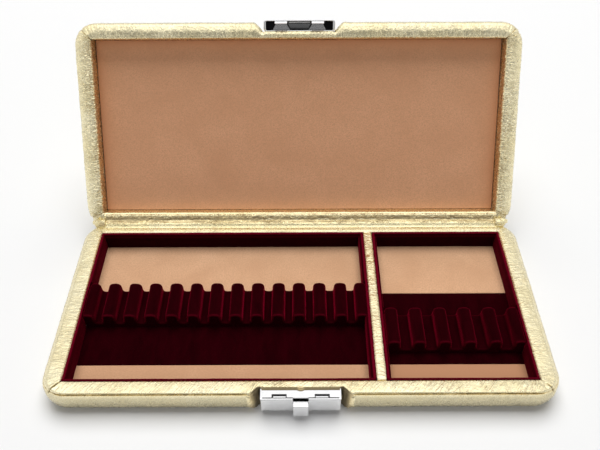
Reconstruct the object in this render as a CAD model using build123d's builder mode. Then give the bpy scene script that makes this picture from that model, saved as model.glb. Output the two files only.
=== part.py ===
from build123d import *
import os
from math import cos, radians, sin

# Oboe reed case: a leather covered tray and a hinged lid of the same plan.
# The frame has +X to the right, +Y to the hinge at the back, +Z up.
# The origin is the centre of the flat underside. The lid is modelled open, as it rests.

# Outer size and forms, shared by the base and the lid
case_w = 224.0
case_d = 105.0
base_h = 12.6
lid_h = 12.0
corner_r = 11.5
edge_r = 6.5
rim_r = 2.4
back_r = 5.4
leather_t = 0.9

# The opening at the leather rim
mouth_w = 208.0
mouth_d = 88.8

# Hinge: the axis lies half way across the gap between the two rims
rim_gap = 0.6
hinge_y = 50.37
lean = 32.0
hinge_len = 200.0
pin_r = 0.5
pin_play = 0.03
knuckle_r = 1.0
knuckles = 11
knuckle_gap = 0.2
leaf_t = 0.6
leaf_front = 45.7
leaf_back = 48.9
hinge_screws = 5
screw_pitch = 44.0
screw_r = 0.8
screw_head_r = 1.15
screw_len = 5.0

# Lining heights and thicknesses
floor_t = 0.6
floor_top = 2.53
liner_t = 1.4
turn_in = 4.0
lid_panel_depth = 8.3
lid_panel_t = 1.2

# Divider between the two compartments
divider_x = 35.3
divider_w = 5.0
divider_leather_t = 0.8

# Floor bands: suede in front, velvet, suede behind
band_front = -30.2
band_back = 11.2

# Reed racks: a low bar with raised ribs, covered in velvet
rack_depth = 20.0
rack_floor_z = 5.4
rib_h = 6.2
rib_top_r = 2.75
rib_foot_w = 6.6
velvet_t = 0.5
left_ribs = 14
left_pitch = 10.06
left_first_x = -101.26
left_rack_front = -8.8
right_ribs = 6
right_pitch = 11.65
right_first_x = 43.0
right_rack_front = -24.3

# Latch recess in both front walls, in plan
recess_outer = 22.5
recess_inner = 18.3
recess_y = -47.9

# Latch housing on the base, heights measured from the rim
latch_w = 34.6
latch_front = -54.0
latch_back = -48.6
latch_top = -0.3
latch_bottom = -9.6
plate_t = 0.7
slot_w = 0.5
notch_from = 6.0
notch_to = 12.4
notch_back = -51.2
window_half = 3.4
window_bottom = -3.6

# Catch lever, turning about a cross pin in the housing
lever_y = -51.2
lever_z = -6.5
lever_barrel_r = 1.1
lever_barrel_half = 12.2
lever_t = 0.8
tab_half = 3.2
tab_front = -56.4
tab_top = -2.4
arm_from = 6.4
arm_to = 11.8
lip_tip = -51.9
lip_top = -1.7

# Lid latch: a shallow cover with two hooked lugs
cover_w = 35.7
cover_front = -53.5
cover_back = -48.0
cover_depth = 9.0
cover_hollow = 6.2
cover_t = 0.6
lug_half_w = 3.05
lug_x = 9.1
lug_front = -52.73
lug_back = -52.13
nose_back = -51.53
lug_reach = 4.2

# Places that follow from the sizes above
base_rim = Plane.XY.offset(base_h)
hinge_z = base_h + rim_gap / 2
away = Vector(0, sin(radians(lean)), cos(radians(lean)))
mouth_dir = Vector(0, -cos(radians(lean)), sin(radians(lean)))
hinge_point = Vector(0, hinge_y, hinge_z)
lid_centre = hinge_point + away * hinge_y - mouth_dir * (rim_gap / 2)
lid_rim = Plane(origin=lid_centre, x_dir=(-1, 0, 0), z_dir=mouth_dir)
mitre = mouth_w / 2 - mouth_d / 2
bottom_board_top = floor_top - floor_t


def keep(piece, name):
    """Label a finished piece and write it under its own name."""
    piece.part.label = name
    export_step(piece.part, f"parts/{name}.step")
    print(name, len(piece.part.solids()), round(piece.part.volume, 1))


def side_plane(rim):
    """Plane across a half: its x runs to the hinge and its y out of the mouth."""
    return Plane(origin=rim.origin, x_dir=rim.y_dir, z_dir=rim.x_dir)


def half_form(rim, height, inset):
    """Outer form of one half with every face drawn in by inset."""
    up = Axis(rim.origin, rim.z_dir)
    arc_y = case_d / 2 - back_r
    arc_r = back_r - inset
    arc_end = case_d / 2 - inset
    with BuildPart() as form:
        with BuildSketch(rim.offset(-inset)):
            RectangleRounded(case_w - 2 * inset, case_d - 2 * inset, corner_r - inset)
        extrude(amount=-(height - 2 * inset))
        fillet(form.faces().sort_by(up)[0].edges(), edge_r - inset)
        fillet(form.faces().sort_by(up)[-1].edges(), rim_r - inset)
        # Rounded relief along the hinge side, so that the open lid clears the base
        with BuildSketch(side_plane(rim)):
            with BuildLine():
                Line((arc_y, -inset + 3), (arc_y, -inset))
                RadiusArc((arc_y, -inset), (arc_end, -back_r), arc_r)
                Line((arc_end, -back_r), (arc_end + 5, -back_r))
                Line((arc_end + 5, -back_r), (arc_end + 5, -inset + 3))
                Line((arc_end + 5, -inset + 3), (arc_y, -inset + 3))
            make_face()
        extrude(amount=case_w, both=True, mode=Mode.SUBTRACT)
        # Recess for the latch, slanted at both ends
        with BuildSketch(rim):
            front = -case_d / 2 - 2
            flare = recess_outer + (recess_outer - recess_inner) * 2 / (case_d / 2 + recess_y)
            Polygon(
                (-flare, front), (flare, front), (recess_inner, recess_y), (-recess_inner, recess_y),
                align=None,
            )
            if inset > 0:
                offset(amount=inset, kind=Kind.INTERSECTION)
        extrude(amount=-height, mode=Mode.SUBTRACT)
    return form.part


def side_wedge(rim, side, height):
    """The part of the plan that belongs to one side, up to the mitred corners."""
    far = 80.0
    wedges = {
        "front": ((-mitre, 0), (-mitre - far, -far), (mitre + far, -far), (mitre, 0)),
        "back": ((-mitre, 0), (mitre, 0), (mitre + far, far), (-mitre - far, far)),
        "right": ((mitre, 0), (mitre + far, -far), (mitre + far, far)),
        "left": ((-mitre, 0), (-mitre - far, far), (-mitre - far, -far)),
    }
    with BuildPart() as wedge:
        with BuildSketch(rim.offset(2)):
            Polygon(*wedges[side], align=None)
        extrude(amount=-(height + 4))
    return wedge.part


def hinge_rebate(rim):
    """Space along the hinge side for a leaf and for the knuckles."""
    slack = 0.05
    with BuildPart() as space:
        with BuildSketch(side_plane(rim)):
            Polygon(
                (leaf_front - slack, -leather_t), (leaf_back, -leather_t), (leaf_back, 3),
                (case_d / 2 + 5, 3), (case_d / 2 + 5, -leather_t - leaf_t - slack),
                (leaf_front - slack, -leather_t - leaf_t - slack),
                align=None,
            )
        extrude(amount=hinge_len / 2 + 0.5, both=True)
    return space.part


def screw_group(rim):
    """Countersunk screws that hold one hinge leaf."""
    y = (leaf_front + leaf_back) / 2
    top = -leather_t
    with BuildPart() as screws:
        for index in range(hinge_screws):
            x = (index - (hinge_screws - 1) / 2) * screw_pitch
            with BuildSketch(rim.offset(top)):
                with Locations((x, y)):
                    Circle(screw_head_r)
            with BuildSketch(rim.offset(top - leaf_t)):
                with Locations((x, y)):
                    Circle(screw_r)
            loft()
            with BuildSketch(rim.offset(top - leaf_t)):
                with Locations((x, y)):
                    Circle(screw_r)
            extrude(amount=-screw_len)
    return screws


def rivet_group(rim, seat_y, head_dir, half_gap, heights):
    """Rivets through a latch plate into the front wall; head_dir is where the heads point."""
    shank = 1.6
    head_h = 0.5
    with BuildPart() as rivets:
        for x in (-half_gap, half_gap):
            for height in heights:
                centre = rim.from_local_coords(Vector(x, seat_y, height))
                seat = Plane(origin=centre, x_dir=rim.x_dir, z_dir=rim.y_dir * head_dir)
                with BuildSketch(seat):
                    Circle(1.3)
                extrude(amount=head_h, taper=25)
                with BuildSketch(seat):
                    Circle(0.6)
                extrude(amount=-shank)
    return rivets


def build_half(rim, height, prefix, sides, flap, screws, rivets):
    """Four boards and four leather wraps of one half, mitred at the corners."""
    core = half_form(rim, height, leather_t)
    skin = half_form(rim, height, 0)
    rebate = hinge_rebate(rim)
    board_w = mouth_w + 2 * leather_t
    board_d = mouth_d + 2 * leather_t
    for side, name in sides.items():
        wedge = side_wedge(rim, side, height)
        with BuildPart() as board:
            add(core)
            with BuildSketch(rim):
                Rectangle(board_w, board_d)
            extrude(amount=-height, mode=Mode.SUBTRACT)
            add(wedge, mode=Mode.INTERSECT)
            if side == "back":
                add(rebate, mode=Mode.SUBTRACT)
                add(screws.part, mode=Mode.SUBTRACT)
            if side == "front":
                add(rivets.part, mode=Mode.SUBTRACT)
        keep(board, f"{prefix}_{name}_board")
        with BuildPart() as wrap:
            add(skin)
            add(core, mode=Mode.SUBTRACT)
            # The mouth, and the inner flap that ends below the rim
            with BuildSketch(rim):
                Rectangle(mouth_w, mouth_d)
            extrude(amount=-height, mode=Mode.SUBTRACT)
            with BuildSketch(rim.offset(-flap)):
                Rectangle(board_w, board_d)
            extrude(amount=-(height - flap), mode=Mode.SUBTRACT)
            # The flat sheet takes over on the outer face
            with BuildSketch(rim.offset(-height)):
                RectangleRounded(sheet_w, sheet_d, sheet_r)
            extrude(amount=leather_t, mode=Mode.SUBTRACT)
            add(wedge, mode=Mode.INTERSECT)
            if side == "back":
                add(rebate, mode=Mode.SUBTRACT)
            if side == "front":
                add(rivets.part, mode=Mode.SUBTRACT)
        keep(wrap, f"{prefix}_leather_{name}")
    with BuildPart() as sheet:
        with BuildSketch(rim.offset(-height)):
            RectangleRounded(sheet_w, sheet_d, sheet_r)
        extrude(amount=leather_t)
    return sheet


def hinge_leaf(rim, first_knuckle, screws):
    """One leaf of the long hinge with every other knuckle."""
    axis_z = rim_gap / 2
    step = hinge_len / knuckles
    with BuildPart() as leaf:
        with BuildSketch(side_plane(rim)):
            Polygon(
                (leaf_front, -leather_t - leaf_t), (leaf_back + 0.1, -leather_t - leaf_t),
                (leaf_back + 0.1, -leather_t), (leaf_front, -leather_t),
                align=None,
            )
        extrude(amount=hinge_len / 2, both=True)
        for index in range(first_knuckle, knuckles, 2):
            start = -hinge_len / 2 + index * step + knuckle_gap / 2
            with BuildSketch(side_plane(rim).offset(start)):
                Polygon(
                    (leaf_back, -leather_t - leaf_t), (leaf_back + 0.7, -leather_t - leaf_t),
                    (hinge_y + 0.45, axis_z - 0.8), (hinge_y - 0.25, axis_z - 0.75),
                    (leaf_back, -leather_t),
                    align=None,
                )
                with Locations((hinge_y, axis_z)):
                    Circle(knuckle_r)
            extrude(amount=step - knuckle_gap)
        with BuildSketch(side_plane(rim)):
            with Locations((hinge_y, axis_z)):
                Circle(pin_r + pin_play)
        extrude(amount=hinge_len, both=True, mode=Mode.SUBTRACT)
        add(screws.part, mode=Mode.SUBTRACT)
    return leaf


sheet_w = case_w - 2 * edge_r + 1.6
sheet_d = case_d - 2 * edge_r + 1.6
sheet_r = corner_r - edge_r + 0.8

# Base: walls, wraps, bottom sheet and bottom board
base_screws = screw_group(base_rim)
keep(base_screws, "hinge_base_screws")
latch_rivets = rivet_group(base_rim, latch_back, -1, 14.0, (-3.2, -7.0))
keep(latch_rivets, "latch_rivets")
base_sides = {"front": "front", "back": "back", "right": "right", "left": "left"}
base_sheet = build_half(base_rim, base_h, "base", base_sides, turn_in, base_screws, latch_rivets)
keep(base_sheet, "base_leather_bottom")

with BuildPart() as bottom_board:
    with BuildSketch(Plane.XY.offset(leather_t)):
        Rectangle(mouth_w + 2 * leather_t, mouth_d + 2 * leather_t)
    extrude(amount=bottom_board_top - leather_t)
keep(bottom_board, "base_bottom_board")

# Lid: the same walls on the lid's own rim plane, with left and right swapped as it lies open
lid_screws = screw_group(lid_rim)
keep(lid_screws, "hinge_lid_screws")
lid_rivets = rivet_group(lid_rim, cover_back, -1, 15.4, (-4.0,))
keep(lid_rivets, "lid_latch_rivets")
lid_sides = {"front": "front", "back": "back", "right": "left", "left": "right"}
lid_sheet = build_half(lid_rim, lid_h, "lid", lid_sides, lid_panel_depth, lid_screws, lid_rivets)
keep(lid_sheet, "lid_leather_top")

lid_panel_back = lid_panel_depth + lid_panel_t
with BuildPart() as lid_top_board:
    with BuildSketch(lid_rim.offset(-lid_panel_back)):
        Rectangle(mouth_w + 2 * leather_t, mouth_d + 2 * leather_t)
    extrude(amount=-(lid_h - leather_t - lid_panel_back))
keep(lid_top_board, "lid_top_board")

with BuildPart() as lid_suede_panel:
    with BuildSketch(lid_rim.offset(-lid_panel_depth)):
        Rectangle(mouth_w + 2 * leather_t, mouth_d + 2 * leather_t)
    extrude(amount=-lid_panel_t)
keep(lid_suede_panel, "lid_suede_panel")

# Hinge: two leaves, one pin, an inner leather gusset and an outer leather spine
keep(hinge_leaf(base_rim, 0, base_screws), "hinge_base_leaf")
keep(hinge_leaf(lid_rim, 1, lid_screws), "hinge_lid_leaf")

hinge_section = Plane(origin=hinge_point, x_dir=(0, 1, 0), z_dir=(1, 0, 0))
with BuildPart() as hinge_pin:
    with BuildSketch(hinge_section):
        Circle(pin_r)
    extrude(amount=hinge_len / 2, both=True)
keep(hinge_pin, "hinge_pin")


def ring_point(radius, angle):
    """A point around the hinge axis, with the angle counted from the back upwards."""
    return (radius * cos(radians(angle)), radius * sin(radians(angle)))


gusset_in = 1.2
gusset_out = 1.55
gusset_from = 45.0
gusset_to = 195.0
with BuildPart() as hinge_gusset:
    with BuildSketch(hinge_section):
        with BuildLine():
            middle = (gusset_from + gusset_to) / 2
            Line(ring_point(gusset_in, gusset_from), ring_point(gusset_out, gusset_from))
            ThreePointArc(
                ring_point(gusset_out, gusset_from), ring_point(gusset_out, middle),
                ring_point(gusset_out, gusset_to),
            )
            Line(ring_point(gusset_out, gusset_to), ring_point(gusset_in, gusset_to))
            ThreePointArc(
                ring_point(gusset_in, gusset_to), ring_point(gusset_in, middle),
                ring_point(gusset_in, gusset_from),
            )
        make_face()
    extrude(amount=mouth_w / 2, both=True)
keep(hinge_gusset, "hinge_gusset")

with BuildPart() as hinge_spine:
    with BuildSketch(hinge_section):
        Polygon(
            ring_point(1.25, -76), ring_point(2.1, -69), ring_point(2.1, -53), ring_point(1.25, -46),
            align=None,
        )
    extrude(amount=mouth_w / 2, both=True)
keep(hinge_spine, "hinge_spine")

# Divider: a thin board wrapped in leather, between the front and back walls
divider_low = bottom_board_top
with BuildPart() as divider_board:
    with BuildSketch(Plane.XY.offset(divider_low)):
        with Locations((divider_x, 0)):
            Rectangle(divider_w - 2 * divider_leather_t, mouth_d)
    extrude(amount=base_h - divider_leather_t - divider_low)
keep(divider_board, "divider_board")

with BuildPart() as divider_leather:
    with BuildSketch(Plane.XZ):
        with Locations((divider_x, (divider_low + base_h) / 2)):
            Rectangle(divider_w, base_h - divider_low)
    extrude(amount=mouth_d / 2, both=True)
    fillet(divider_leather.faces().sort_by(Axis.Z)[-1].edges().filter_by(Axis.Y), 1.2)
    add(divider_board.part, mode=Mode.SUBTRACT)
keep(divider_leather, "divider_leather")

# Compartments, from divider to side wall
divider_left = divider_x - divider_w / 2
divider_right = divider_x + divider_w / 2
compartments = {
    "left": (-mouth_w / 2, divider_left),
    "right": (divider_right, mouth_w / 2),
}


def box(x0, x1, y0, y1, z0, z1):
    """A plain block between two corners."""
    with BuildPart() as block:
        with BuildSketch(Plane.XY.offset(z0)):
            with Locations(((x0 + x1) / 2, (y0 + y1) / 2)):
                Rectangle(x1 - x0, y1 - y0)
        extrude(amount=z1 - z0)
    return block


def liner(x0, x1, y0, y1, name):
    """A velvet covered strip on edge along one wall of a compartment."""
    with BuildPart() as strip:
        add(box(x0, x1, y0, y1, bottom_board_top, base_h - 0.1).part)
        fillet(strip.faces().sort_by(Axis.Z)[-1].edges(), 0.4)
    keep(strip, name)


for room, (x0, x1) in compartments.items():
    y1 = mouth_d / 2
    liner(x0, x1, -y1, -y1 + liner_t, f"{room}_liner_front")
    liner(x0, x1, y1 - liner_t, y1, f"{room}_liner_back")
    liner(x0, x0 + liner_t, -y1 + liner_t, y1 - liner_t, f"{room}_liner_left")
    liner(x1 - liner_t, x1, -y1 + liner_t, y1 - liner_t, f"{room}_liner_right")
    fx0 = x0 + liner_t
    fx1 = x1 - liner_t
    fy = y1 - liner_t
    keep(box(fx0, fx1, -fy, band_front, bottom_board_top, floor_top), f"{room}_suede_front")
    keep(box(fx0, fx1, band_front, band_back, bottom_board_top, floor_top), f"{room}_floor_velvet")
    keep(box(fx0, fx1, band_back, fy, bottom_board_top, floor_top), f"{room}_suede_back")


def rib_face(top_r, foot_w):
    """Section of one rib: a round top on slightly spread sides."""
    foot_h = 0.2
    with BuildSketch() as face:
        with Locations((0, rib_h - top_r)):
            Circle(top_r)
        with Locations((0, foot_h / 2)):
            Rectangle(foot_w, foot_h)
        make_hull()
    return face.sketch


def rib_row(count, pitch, first_x, y0, y1, z0, top_r, foot_w):
    """A row of ribs that run from y0 to y1 and stand on z0."""
    section = rib_face(top_r, foot_w)
    with BuildPart() as row:
        with BuildSketch(Plane.XZ.offset(-y0)):
            with Locations([(first_x + pitch * index, z0) for index in range(count)]):
                add(section)
        extrude(amount=-(y1 - y0))
    return row.part


def rack(room, count, pitch, first_x, y0):
    """Bar, ribs and velvet cover of one reed rack."""
    x0, x1 = compartments[room]
    x0 = x0 + liner_t
    x1 = x1 - liner_t
    y1 = y0 + rack_depth
    wood_y0 = y0 + velvet_t
    wood_y1 = y1 - velvet_t
    wood_top = rack_floor_z - velvet_t
    room_block = box(x0, x1, y0, y1, floor_top, base_h)
    with BuildPart() as bar:
        add(box(x0, x1, wood_y0, wood_y1, floor_top, wood_top).part)
    with BuildPart() as ribs:
        add(rib_row(count, pitch, first_x, wood_y0, wood_y1, wood_top,
                    rib_top_r - velvet_t, rib_foot_w - 2 * velvet_t))
        add(room_block.part, mode=Mode.INTERSECT)
    with BuildPart() as cover:
        add(box(x0, x1, y0, y1, floor_top, rack_floor_z).part)
        add(rib_row(count, pitch, first_x, y0, y1, rack_floor_z, rib_top_r, rib_foot_w))
        add(room_block.part, mode=Mode.INTERSECT)
        add(bar.part, mode=Mode.SUBTRACT)
        add(ribs.part, mode=Mode.SUBTRACT)
    keep(bar, f"{room}_rack_bar")
    keep(ribs, f"{room}_rack_ribs")
    keep(cover, f"{room}_rack_velvet")


rack("left", left_ribs, left_pitch, left_first_x, left_rack_front)
rack("right", right_ribs, right_pitch, right_first_x, right_rack_front)

# Latch housing on the base: a pressed cover with a stepped slot for the lugs and a window
latch_section = side_plane(base_rim)
with BuildPart() as latch_housing:
    with BuildSketch(latch_section):
        with Locations(((latch_front + latch_back) / 2, (latch_top + latch_bottom) / 2)):
            Rectangle(latch_back - latch_front, latch_top - latch_bottom)
    extrude(amount=latch_w / 2, both=True)
    front_face = latch_housing.faces().sort_by(Axis.Y)[0]
    fillet(front_face.edges(), 0.6)
    with BuildSketch(latch_section):
        with Locations(((latch_front + plate_t + latch_back) / 2, (latch_top + latch_bottom) / 2)):
            Rectangle(latch_back - latch_front - plate_t, latch_top - latch_bottom - 2 * plate_t)
    extrude(amount=latch_w / 2 - plate_t, both=True, mode=Mode.SUBTRACT)
    inner_front = latch_front + plate_t
    with BuildSketch(base_rim):
        with Locations((0, inner_front + slot_w / 2)):
            Rectangle(latch_w - 2 * plate_t - 0.4, slot_w)
        for side in (-1, 1):
            with Locations((side * (notch_from + notch_to) / 2, (inner_front + notch_back) / 2)):
                Rectangle(notch_to - notch_from, notch_back - inner_front)
    extrude(amount=latch_top - plate_t - 0.5, mode=Mode.SUBTRACT)
    with BuildSketch(Plane.XZ.offset(-latch_front + 1)):
        with Locations((0, base_h + window_bottom / 2)):
            Rectangle(2 * window_half, -window_bottom)
    extrude(amount=-(plate_t + 1 + slot_w), mode=Mode.SUBTRACT)
    with BuildSketch(latch_section):
        with Locations((lever_y, lever_z)):
            Circle(pin_r)
    extrude(amount=latch_w, both=True, mode=Mode.SUBTRACT)
keep(latch_housing, "latch_housing")

with BuildPart() as latch_back_plate:
    with BuildSketch(latch_section):
        with Locations(((latch_back + recess_y) / 2, (latch_top + latch_bottom) / 2)):
            Rectangle(recess_y - latch_back, latch_top - latch_bottom - 0.4)
    extrude(amount=latch_w / 2 - 0.3, both=True)
    add(latch_rivets.part, mode=Mode.SUBTRACT)
keep(latch_back_plate, "latch_back_plate")

with BuildPart() as latch_pin:
    with BuildSketch(latch_section):
        with Locations((lever_y, lever_z)):
            Circle(pin_r)
    extrude(amount=latch_w / 2 - 0.1, both=True)
keep(latch_pin, "latch_pin")

# Catch lever: a barrel on the pin, a bent thumb tab and two arms with lips over the lugs
with BuildPart() as catch_lever:
    with BuildSketch(latch_section):
        with Locations((lever_y, lever_z)):
            Circle(lever_barrel_r)
    extrude(amount=lever_barrel_half, both=True)
    with BuildSketch(latch_section):
        riser_front = lever_y - lever_t / 2
        Polygon(
            (riser_front, lever_z), (riser_front, tab_top - lever_t),
            (tab_front + lever_t, tab_top - lever_t), (tab_front + lever_t, latch_bottom),
            (tab_front, latch_bottom), (tab_front, tab_top),
            (riser_front + lever_t, tab_top), (riser_front + lever_t, lever_z),
            align=None,
        )
    extrude(amount=tab_half, both=True)
    outer_bend = catch_lever.edges().filter_by(Axis.X).group_by(Axis.Y)[0].sort_by(Axis.Z)[-1]
    fillet(outer_bend, 0.5)
    for side in (-1, 1):
        with BuildSketch(latch_section.offset(side * (arm_from + arm_to) / 2)):
            arm_front = lip_tip + 1.0
            Polygon(
                (arm_front, lever_z), (arm_front, lip_top - lever_t), (lip_tip, lip_top - lever_t),
                (lip_tip, lip_top - 0.3), (lip_tip + 0.5, lip_top), (arm_front + lever_t, lip_top),
                (arm_front + lever_t, lever_z),
                align=None,
            )
        extrude(amount=(arm_to - arm_from) / 2, both=True)
    with BuildSketch(latch_section):
        with Locations((lever_y, lever_z)):
            Circle(pin_r + pin_play)
    extrude(amount=latch_w, both=True, mode=Mode.SUBTRACT)
keep(catch_lever, "catch_lever")

# Return spring: a coil round the pin beside the lever, with a leg against the front plate
spring_wire_r = 0.15
spring_r = 0.85
spring_turns = 5
spring_pitch = 0.5
spring_leg = 1.9
spring_start = Vector(lever_barrel_half + 0.4, lever_y, base_h + lever_z)
with BuildPart() as latch_spring:
    with BuildLine() as coil:
        Helix(spring_pitch, spring_pitch * spring_turns, spring_r, center=spring_start, direction=(1, 0, 0))
    with BuildSketch(Plane(origin=coil.line @ 0, z_dir=coil.line % 0)):
        Circle(spring_wire_r)
    sweep(path=coil.line)
    with BuildSketch(Plane(origin=coil.line @ 1, z_dir=coil.line % 1)):
        Circle(spring_wire_r)
    extrude(amount=spring_leg)
keep(latch_spring, "latch_spring")

# Lid latch: the pressed cover in the lid's recess
lid_section = side_plane(lid_rim)
with BuildPart() as lid_latch_cover:
    with BuildSketch(lid_section):
        with Locations(((cover_front + cover_back) / 2, -cover_depth / 2)):
            Rectangle(cover_back - cover_front, cover_depth)
    extrude(amount=cover_w / 2, both=True)
    forward = Axis(lid_rim.origin, -lid_rim.y_dir)
    fillet(lid_latch_cover.faces().sort_by(forward)[-1].edges(), 0.5)
    with BuildSketch(lid_rim.offset(1)):
        with Locations((0, (cover_front + cover_back) / 2)):
            Rectangle(cover_w - 2 * cover_t, cover_back - cover_front - 2 * cover_t)
    extrude(amount=-(cover_hollow + 1), mode=Mode.SUBTRACT)
    add(lid_rivets.part, mode=Mode.SUBTRACT)
keep(lid_latch_cover, "lid_latch_cover")

# Lug bracket: a foot in the cover, two trapezoid plates and two hooked lugs
foot_z = -cover_hollow
shelf_z = -1.6
shelf_t = 0.6
inner_back = cover_back - cover_t
with BuildPart() as lid_lug_bracket:
    with BuildSketch(lid_rim.offset(foot_z)):
        with Locations((0, (lug_front + inner_back) / 2)):
            Rectangle(2 * (lug_x + lug_half_w), inner_back - lug_front - 0.1)
    extrude(amount=0.6)
    for side in (-1, 1):
        with BuildSketch(lid_rim.offset(shelf_z)):
            Polygon(
                (side * (lug_x - 4.9), inner_back - 0.1), (side * (lug_x + 4.4), inner_back - 0.1),
                (side * (lug_x + lug_half_w), nose_back + 0.6), (side * (lug_x + lug_half_w), lug_front),
                (side * (lug_x - lug_half_w), lug_front), (side * (lug_x - lug_half_w), nose_back + 0.6),
                align=None,
            )
        extrude(amount=-shelf_t)
        with BuildSketch(lid_section.offset(side * lug_x)):
            Polygon(
                (lug_front, foot_z), (lug_front, lug_reach - 0.3), (lug_front + 0.3, lug_reach),
                (lug_back, lug_reach), (nose_back, lug_reach - 0.4), (nose_back, lug_reach - 0.8),
                (lug_back, lug_reach - 0.8), (lug_back, foot_z),
                align=None,
            )
        extrude(amount=lug_half_w, both=True)
    # Middle strut between the lugs
    with BuildSketch(lid_section):
        Polygon(
            (lug_front, foot_z), (lug_front, -0.6), (lug_back, -0.6), (lug_back, foot_z),
            align=None,
        )
    extrude(amount=4.9, both=True)
keep(lid_lug_bracket, "lid_lug_bracket")
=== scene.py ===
from math import cos, pi, radians, sin
from types import SimpleNamespace

import bmesh
import bpy
import numpy as np
from mathutils import Matrix


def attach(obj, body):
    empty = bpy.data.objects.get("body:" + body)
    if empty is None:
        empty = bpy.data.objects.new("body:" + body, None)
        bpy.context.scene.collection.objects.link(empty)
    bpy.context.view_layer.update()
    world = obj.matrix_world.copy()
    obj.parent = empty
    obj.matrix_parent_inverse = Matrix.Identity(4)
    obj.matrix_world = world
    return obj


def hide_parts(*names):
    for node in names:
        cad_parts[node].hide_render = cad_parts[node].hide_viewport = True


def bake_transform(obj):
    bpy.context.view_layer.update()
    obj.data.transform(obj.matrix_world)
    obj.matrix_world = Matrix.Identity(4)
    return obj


# Oboe reed case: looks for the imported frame. Lengths are in mm and become metres when a mesh is made, but the
# studio at the end is in metres.
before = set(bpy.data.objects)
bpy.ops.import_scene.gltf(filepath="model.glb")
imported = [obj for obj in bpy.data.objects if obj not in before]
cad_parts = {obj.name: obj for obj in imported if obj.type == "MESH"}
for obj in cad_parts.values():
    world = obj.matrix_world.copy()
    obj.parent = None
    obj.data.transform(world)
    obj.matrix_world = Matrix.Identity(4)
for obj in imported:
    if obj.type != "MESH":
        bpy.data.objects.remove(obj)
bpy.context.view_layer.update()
MM = 0.001

# Sizes that the source also has
CASE_W, CASE_D = 224.0, 105.0
BASE_H, LID_H = 12.6, 12.0
CORNER_R, EDGE_R, BACK_R = 11.5, 6.5, 5.4
MOUTH_W, MOUTH_D = 208.0, 88.8
HALF_W, HALF_D = MOUTH_W / 2, MOUTH_D / 2
HINGE_Y, RIM_GAP, LEAN = 50.37, 0.6, radians(32)
LINING_Z, FLOOR_TOP = 1.93, 2.53
DIVIDER_X, DIVIDER_W = 35.3, 5.0
BAND_FRONT, BAND_BACK = -30.2, 11.2
BASE_FLAP, LID_PANEL_DEPTH = 4.0, 8.3
SHEET_INSET, SHEET_R = 5.7, 5.8
RECESS_IN, RECESS_OUT, RECESS_Y = 18.4, 22.9, 47.9
RACK_DEPTH = 20.0

AWAY = np.array([0, sin(LEAN), cos(LEAN)])
MOUTH = np.array([0, -cos(LEAN), sin(LEAN)])
HINGE = np.array([0, HINGE_Y, BASE_H + RIM_GAP / 2])
LID_ORIGIN = HINGE + AWAY * HINGE_Y - MOUTH * RIM_GAP / 2


def on_base(p):
    """Points of a half's own frame (x, y to the hinge, z out of the mouth), placed as the base."""
    return p + np.array([0, 0, BASE_H])


def on_lid(p):
    """The same points placed as the open lid."""
    return LID_ORIGIN + p[..., :1] * np.array([-1.0, 0, 0]) - p[..., 1:2] * AWAY + p[..., 2:3] * MOUTH


# ---- repeatable noise ----
def lattice(i, j, k, seed):
    """A value from -1 to 1 for each whole-number place."""
    i, j, k = (v.astype(np.int64) for v in (i, j, k))
    h = i * 374761393 + j * 668265263 + k * 2246822519 + seed * 3266489
    h = (h & 0xFFFFFFFF).astype(np.uint64)
    h = ((h ^ (h >> np.uint64(13))) * np.uint64(1274126177)) & np.uint64(0xFFFFFFFF)
    h = h ^ (h >> np.uint64(16))
    return h.astype(float) / 2147483647.5 - 1.0


def noise(x, y, z=0.0, seed=0):
    """Smooth noise from -1 to 1 with features about one unit wide."""
    x, y, z = (np.asarray(v, float) for v in np.broadcast_arrays(x, y, z))
    fx, fy, fz = np.floor(x), np.floor(y), np.floor(z)
    tx, ty, tz = ((t * t * t * (t * (6 * t - 15) + 10)) for t in (x - fx, y - fy, z - fz))
    total = 0.0
    for a in (0, 1):
        for b in (0, 1):
            for c in (0, 1):
                weight = (tx if a else 1 - tx) * (ty if b else 1 - ty) * (tz if c else 1 - tz)
                total = total + weight * lattice(fx + a, fy + b, fz + c, seed)
    return total


def layered(x, y, z=0.0, seed=0, octaves=3):
    """Noise with finer and weaker layers added."""
    total, size = 0.0, 1.0
    for n in range(octaves):
        total = total + noise(np.asarray(x) / size, np.asarray(y) / size, np.asarray(z) / size, seed + 17 * n) * size
        size *= 0.5
    return total


def step(x, low, high):
    """A smooth rise from 0 at low to 1 at high."""
    t = np.clip((np.asarray(x, float) - low) / (high - low), 0, 1)
    return t * t * (3 - 2 * t)


def bell(x, centre, width, power=2):
    """A hump of height 1 at centre."""
    return np.exp(-(((x - centre) / width) ** power))


# ---- mesh helpers ----
PIECES = {}


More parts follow.
